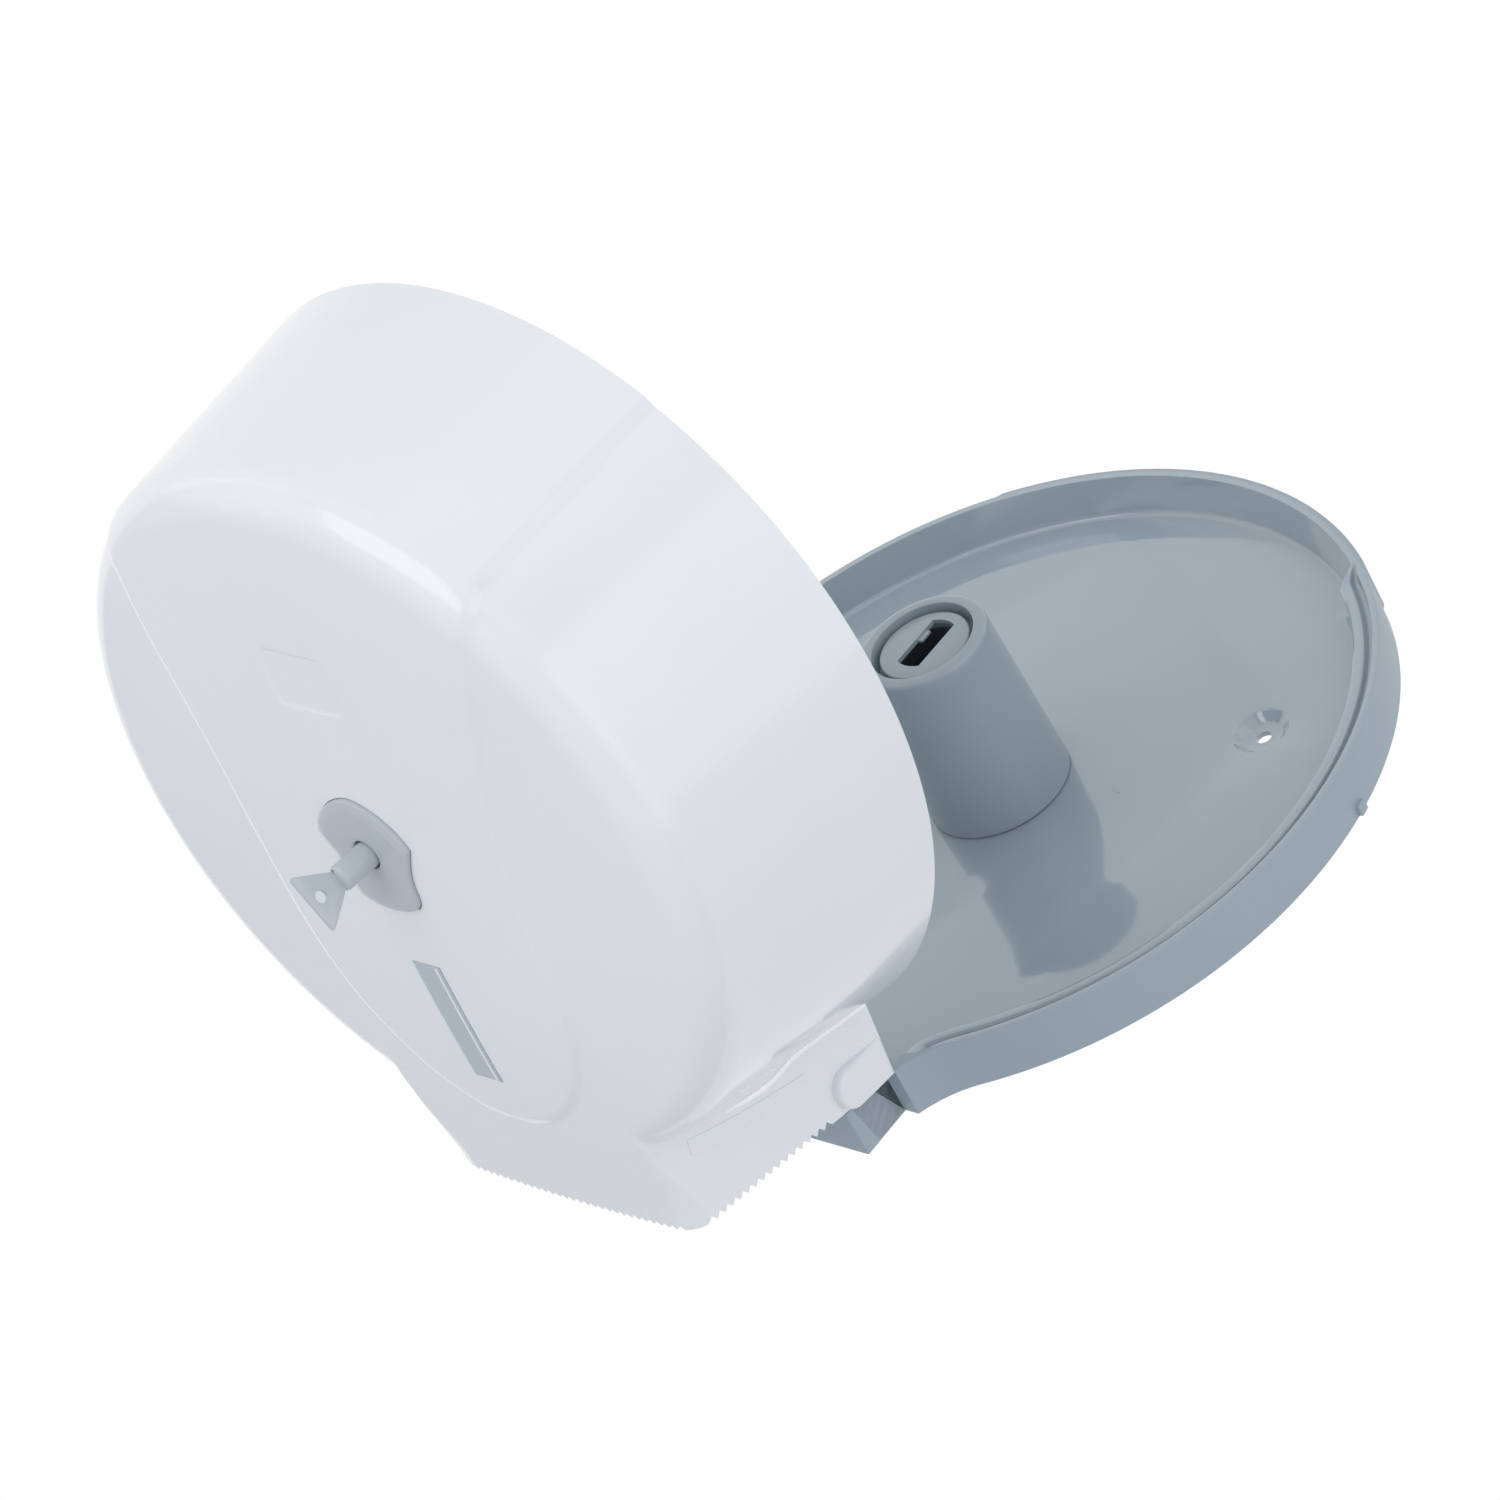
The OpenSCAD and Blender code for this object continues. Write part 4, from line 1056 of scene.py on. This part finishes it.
# each corner is (inset from the edge, depth, softness)
sideCorners = [(16, 5.1, 0), (11.4, 5.1, 1.6), (9.9, 17.5, 1.9), (5.9, 17.5, 1.9), (5.1, 15.2, 1.0),
               (3.0, 15.2, 1.0), (2.6, 19.2, 0.7), (0, 19.2, 0.9), (0, 0, 0.3), (2.7, 0, 0.3),
               (2.7, 9.5, 0.3), (8.0, 9.5, 0.3), (8.0, 0, 0.3), (11, 0, 0.3), (11, 2.6, 0.3), (16, 2.6, 0)]
topCorners = [(16, 5.1, 0), (6.0, 5.1, 1.8), (2.8, 19.2, 0.6), (2.3, 19.2, 0.1), (2.0, 19.2, 0.1),
              (1.7, 19.2, 0.1), (1.4, 19.2, 0.1), (0, 19.2, 0.9), (0, 0, 0.3), (2.7, 0, 0.3),
              (2.8, 2.6, 0.3), (3.2, 2.6, 0.1), (3.8, 2.6, 0.1), (4.4, 2.6, 0.1), (5, 2.6, 0.1), (16, 2.6, 0)]
lowCorners = [(16, 5.1, 0), (3.6, 5.1, 1.4), (2.7, 19.2, 0.5), (2.4, 19.2, 0.1), (2.1, 19.2, 0.1),
              (1.8, 19.2, 0.1), (1.5, 19.2, 0.1), (0, 19.2, 0.8), (0, 0, 0.3), (2.7, 0, 0.3),
              (2.7, 2.6, 0.3), (3.2, 2.6, 0.1), (3.8, 2.6, 0.1), (4.4, 2.6, 0.1), (5, 2.6, 0.1), (16, 2.6, 0)]
flareReach = plate["radius"] + plate["flareRadius"]
flareMiddle = (flareReach * math.cos(math.radians(plate["flareAngle"])),
               -flareReach * math.sin(math.radians(plate["flareAngle"])))


def plateEdge(part, t, inset):
    # a point of the outline in the front view, moved inwards
    if part == 0:
        return around(plate["radius"] - inset, math.radians(90 + plate["flareAngle"]) * t)
    r, low = plate["flareRadius"] + inset, inset - plate["throatDrop"]
    start = math.pi - math.radians(plate["flareAngle"])
    finish = math.pi - math.asin((low - flareMiddle[1]) / r)
    if part == 1:
        angle = mix(start, finish, t)
        return (flareMiddle[0] + r * math.cos(angle), flareMiddle[1] + r * math.sin(angle))
    return ((flareMiddle[0] + r * math.cos(finish)) * (1 - t), low)


def gathered(count, centre, span, share):
    # fractions from 0 to 1, a share of them packed closely about one place
    out = {0.0, 1.0}
    near = int(count * share)
    for i in range(near + 1):
        out.add(clamp(centre - span + 2 * span * i / near))
    for i in range(count - near):
        out.add(i / (count - near))
    return sorted(out)


def plateStations():
    # the places round one half of the outline, close together where the cross-section changes
    wholeAngle = 90 + plate["flareAngle"]
    rim = sorted(set(gathered(100, plate["bandAngle"] / wholeAngle, 0.02, 0.25))
                 | set(gathered(40, plate["bareAngle"] / wholeAngle, 0.02, 0.6)))
    return ([(0, t) for t in rim[:-1]] + [(1, t) for t in gathered(60, 0.62, 0.16, 0.5)[:-1]]
            + [(2, t) for t in (0, 0.03, 0.1, 0.3, 0.6, 1.0)])


def plateColumns(side):
    # the cross-sections of one half; the ridge starts at the band on the right and lower down on the left
    sideLine, topLine, lowLine = (roundCorners(corners) for corners in (sideCorners, topCorners, lowCorners))
    bareAngle = plate["bandAngle"] if side > 0 else plate["bareAngle"]
    columns = []
    for part, t in plateStations():
        column = []
        for rib, top, low in zip(sideLine, topLine, lowLine):
            x, z = plateEdge(part, t, rib[0])
            topShare = bandShare = lowShare = 0.0
            if part == 0:
                angle = math.degrees(math.atan2(x, z))
                perDegree = math.radians(plate["radius"])
                topShare = soft((bareAngle - angle) * perDegree / plate["ridgeEase"] + 0.5)
                bandShare = soft((plate["bandAngle"] - angle) * perDegree / plate["bandStep"] + 0.5)
            if z < plate["endFrom"]:
                lowShare = soft((plate["ridgeEnd"] - z) / plate["endEase"] + 0.5)
            inset, depth = (mix(mix(a, b, topShare), c, lowShare) for a, b, c in zip(rib, top, low))
            inset -= plate["bandRise"] * bandShare * clamp(1 - inset / plate["bandWall"])
            x, z = plateEdge(part, t, inset)
            column.append((side * x, -depth, z))
        columns.append(column)
    return columns


def plateRows():
    allColumns = plateColumns(1) + list(reversed(plateColumns(-1)[1:-1]))
    return [[column[i] for column in allColumns] for i in range(len(allColumns[0]))]


backPlate = fillEnds(loftSkin("backPlate", plateRows()))
print("back plate:", len(backPlate.data.polygons), "faces")

screwSeat = {"circle": 90.0, "boss": 12.5, "mouth": 10.0, "seat": 6.8, "seatDepth": 1.8, "hole": 2.7}
fitMarks = {"places": [(43.5, 9.0), (13.2, -38.5)], "turn": 25, "halfLength": 2.4, "halfWidth": 0.45,
            "rise": 0.12, "sunk": 0.6}
padDepth = plate["floorDepth"] - plate["sunk"]
cut(backPlate, rod("hubPad", 0, 0, plate["hubRadius"], 0, padDepth, sides=96), "UNION")


def screwDish():
    # from the screw's hole out over its seat and the soft mouth of the dish
    mouth, seat, seatDepth, floorDepth = (screwSeat["mouth"], screwSeat["seat"], screwSeat["seatDepth"],
                                          plate["floorDepth"])
    return profileSpin("screwDish", [(0, -1), (screwSeat["hole"], -1), (screwSeat["hole"], seatDepth),
                                     (seat - 0.5, seatDepth), (seat + 0.2, seatDepth + 0.35),
                                     (mouth - 0.5, floorDepth - 0.55), (mouth + 0.1, floorDepth - 0.12),
                                     (mouth + 0.7, floorDepth + 0.02), (mouth + 0.7, floorDepth + 2),
                                     (0, floorDepth + 2)], steps=64)


for x, z in arcPoints(0, 0, screwSeat["circle"], 30, 270, 3):
    cut(backPlate, rod("screwBoss", x, z, screwSeat["boss"], 0, padDepth, sides=64), "UNION")
    dish = screwDish()
    dish.location = (x * mm, 0, z * mm)
    cut(backPlate, settle(dish))
for x, z in fitMarks["places"]:
    length, width = fitMarks["halfLength"], fitMarks["halfWidth"]
    mark = block("fitMark", (-length, -plate["floorDepth"] - fitMarks["rise"], -width),
                 (length, -plate["floorDepth"] + fitMarks["sunk"], width))
    mark.location = (x * mm, 0, z * mm)
    mark.rotation_euler = (0, math.radians(fitMarks["turn"]), 0)
    cut(backPlate, settle(mark), "UNION")
print("plate dishes cut:", len(backPlate.data.polygons), "faces")

# the foot under the throat carries the two hinge lugs
foot = {"halfWidth": 59.0, "depth": 18.0, "low": -146.6, "high": -124.4, "wall": 2.5, "lug": 10.0,
        "lugWidth": 8.0, "armDrop": 4.6, "pinHole": 3.05}
rimClip = {"inner": 2.7, "outer": 1.4, "depth": 4.0, "halfHeight": 2.0, "drop": 11}
footShell = block("plateFoot", (-foot["halfWidth"], -foot["depth"], foot["low"]),
                  (foot["halfWidth"], 0, foot["high"]), bevel=0.6)
cut(footShell, block("footHollow", (foot["wall"] - foot["halfWidth"], foot["wall"] - foot["depth"],
                                    foot["low"] + foot["wall"]),
                     (foot["halfWidth"] - foot["wall"], 2, foot["high"] - foot["wall"])))
plateParts = [footShell]
lugView = ([(0, -hang["hingeDrop"] - foot["armDrop"])]
           + arcPoints(hang["hingeDepth"], -hang["hingeDrop"], foot["lug"], -105, 99, 25)
           + [(0, -hang["hingeDrop"] + foot["lug"])])
for side in (-1, 1):
    low, high = sorted((side * foot["halfWidth"], side * (foot["halfWidth"] - foot["lugWidth"])))
    lug = outlineSlab("hingeLug", lugView, low, high, bevel=0.7, sideways=True)
    cut(lug, crossBar("pinBore", low - 1, high + 1, hang["hingeDepth"], -hang["hingeDrop"], foot["pinHole"]))
    plateParts.append(lug)
    clip = block("rimClip", (plate["radius"] - rimClip["inner"], -rimClip["depth"], -rimClip["halfHeight"]),
                 (plate["radius"] + rimClip["outer"], 0, rimClip["halfHeight"]), bevel=0.4)
    clip.rotation_euler = (0, math.radians(-rimClip["drop"] if side > 0 else 180 + rimClip["drop"]), 0)
    plateParts.append(settle(clip))
for piece in [backPlate] + plateParts:
    smoothPiece(piece, 30)
    finishPiece(piece, "plate_grey")
    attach(piece, "back")
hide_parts("back_plate")
print("plate finished")

# the roll sleeve, a tapered tube with a soft shoulder round its cupped tip
sleeve = {"base": 24.4, "tip": 21.9, "baseDepth": 5.4, "tipDepth": 69.8, "cup": 17.5, "cupDepth": 62.5,
          "bore": 14.05, "shoulder": 3.4}
bore, cup, tip, shoulder = sleeve["bore"], sleeve["cup"], sleeve["tip"], sleeve["shoulder"]
baseDepth, tipDepth, cupDepth = sleeve["baseDepth"], sleeve["tipDepth"], sleeve["cupDepth"]
sleeveLine = roundCorners([(bore, baseDepth, 0), (sleeve["base"], baseDepth, 0.5),
                           (tip + 0.1, tipDepth - shoulder, 0.4), (tip - 0.15, tipDepth - 0.5, shoulder),
                           (tip - 2.1, tipDepth, 0.5), (cup, tipDepth, 0.5), (cup, cupDepth, 0.3),
                           (bore, cupDepth, 0)], steps=6)
rollSleeve = profileSpin("rollSleeve", sleeveLine, steps=128)
smoothPiece(rollSleeve, 35)
finishPiece(rollSleeve, "spindle_grey")
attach(rollSleeve, "sleeve")
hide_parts("roll_sleeve")

# the disc that keeps the sleeve on its post, with an upright slot, one tooth in it and a pocket behind
keeper = {
    "radius": 15.5, "back": 63.8, "face": 67.8, "slotWidth": 9.5, "slotRadius": 10.7, "slotRise": 0.9,
    "tooth": 1.8, "toothLength": 5.3, "toothRise": 0.7, "toothSink": 0.7, "toothSlope": 0.35,
    "pocket": 12.6, "lip": 1.5,
}
slotHalf, toothTip = keeper["slotWidth"] / 2, keeper["tooth"] - keeper["slotWidth"] / 2
slotAngle = math.degrees(math.asin(slotHalf / keeper["slotRadius"]))
slotTop = arcPoints(0, keeper["slotRise"], keeper["slotRadius"], 90 - slotAngle, 90 + slotAngle, 17)
slotLow = [(x, 2 * keeper["slotRise"] - z) for x, z in reversed(slotTop)]
toothLow = keeper["slotRise"] + keeper["toothRise"]
toothHigh = toothLow + keeper["toothLength"]
toothSide = [(-slotHalf, toothHigh), (toothTip, toothHigh - keeper["toothSlope"]),
             (toothTip, toothLow + keeper["toothSlope"]), (-slotHalf, toothLow)]
toothDepth, behind = keeper["face"] - keeper["toothSink"], keeper["back"] - 1
keeperDisc = rod("keeperDisc", 0, 0, keeper["radius"], keeper["back"], keeper["face"], sides=96, bevel=0.6)
cut(keeperDisc, outlineSlab("slotCutter", slotTop + toothSide + slotLow, behind, toothDepth))
cut(keeperDisc, rod("slotPocket", 0, 0, keeper["pocket"], behind, keeper["face"] - keeper["lip"], sides=96))
cut(keeperDisc, outlineSlab("slotMouth", slotTop + slotLow, toothDepth, keeper["face"] + 1))
smoothPiece(keeperDisc, 30)
finishPiece(keeperDisc, "spindle_grey")
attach(keeperDisc, "back")
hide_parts("keeper_disc")
print("sleeve and keeper set")

view = {
    "place": (1.51634, -1.32259, -1.00818),
    "right": (0.69470, 0.40650, 0.59350),
    "up": (-0.16207, -0.71539, 0.67966),
    "back": (0.70086, -0.56831, -0.43107),
    "lens": 167.71,
}
bpy.ops.object.camera_add(location=view["place"])
camera = bpy.context.object
axes = Matrix((view["right"], view["up"], view["back"])).transposed().to_4x4()
camera.matrix_world = Matrix.Translation(view["place"]) @ axes
camera.data.lens = view["lens"]
camera.data.sensor_width = 36
camera.data.clip_start = 0.01
bpy.context.scene.camera = camera

bpy.ops.mesh.primitive_plane_add(size=14, location=(0, 0, -1.6))
floor = startPiece("floor")
floorPaint = Paint("pale_floor")
floorTint = floorPaint.blend(floorPaint.noise(3) * 0.3, (0.9, 0.9, 0.9, 1), (0.86, 0.86, 0.87, 1))
floorPaint.set(Base_Color=floorTint, Roughness=0.8)
floor.data.materials.append(floorPaint.material)

lamps = [
    {"name": "keyLamp", "place": (0.4, -2.0, 1.3), "aim": (0, -0.1, 0), "size": 1.6, "power": 2.6},
    {"name": "lowLamp", "place": (-1.5, -1.3, -1.0), "aim": (0, -0.15, -0.1), "size": 1.6, "power": 3.2},
    {"name": "frontLamp", "place": (-0.1, -1.7, -1.3), "aim": (0, -0.15, -0.1), "size": 1.4, "power": 11.0},
    {"name": "sideLamp", "place": (2.6, -0.9, -0.2), "aim": (0, -0.1, 0), "size": 2.6, "power": 15},
]
for lamp in lamps:
    bpy.ops.object.light_add(type="AREA", location=lamp["place"])
    light = startPiece(lamp["name"])
    light.data.shape = "SQUARE"
    light.data.size = lamp["size"]
    light.data.energy = lamp["power"]
    light.rotation_euler = (Vector(lamp["aim"]) - Vector(lamp["place"])).to_track_quat("-Z", "Y").to_euler()

world = bpy.data.worlds.new("studio")
bpy.context.scene.world = world
world.use_nodes = True
sky = world.node_tree
sky.nodes.clear()
path = sky.nodes.new("ShaderNodeLightPath")
plain = sky.nodes.new("ShaderNodeBackground")
plain.inputs["Color"].default_value = (0.93, 0.96, 1.0, 1)
plain.inputs["Strength"].default_value = 0.66
white = sky.nodes.new("ShaderNodeBackground")
white.inputs["Color"].default_value = (1, 1, 1, 1)
white.inputs["Strength"].default_value = 1.0
choose = sky.nodes.new("ShaderNodeMixShader")
outWorld = sky.nodes.new("ShaderNodeOutputWorld")
sharpRay = sky.nodes.new("ShaderNodeMath")  # mirrors and clear parts see the white backdrop too
sharpRay.operation = "MAXIMUM"
clearRay = sky.nodes.new("ShaderNodeMath")
clearRay.operation = "MAXIMUM"
sky.links.new(path.outputs["Is Glossy Ray"], sharpRay.inputs[0])
sky.links.new(path.outputs["Is Transmission Ray"], sharpRay.inputs[1])
sky.links.new(path.outputs["Is Camera Ray"], clearRay.inputs[0])
sky.links.new(sharpRay.outputs[0], clearRay.inputs[1])
sky.links.new(clearRay.outputs[0], choose.inputs[0])
sky.links.new(plain.outputs[0], choose.inputs[1])
sky.links.new(white.outputs[0], choose.inputs[2])
sky.links.new(choose.outputs[0], outWorld.inputs[0])
bpy.context.scene.view_settings.view_transform = "Standard"
print("camera, floor and light set")
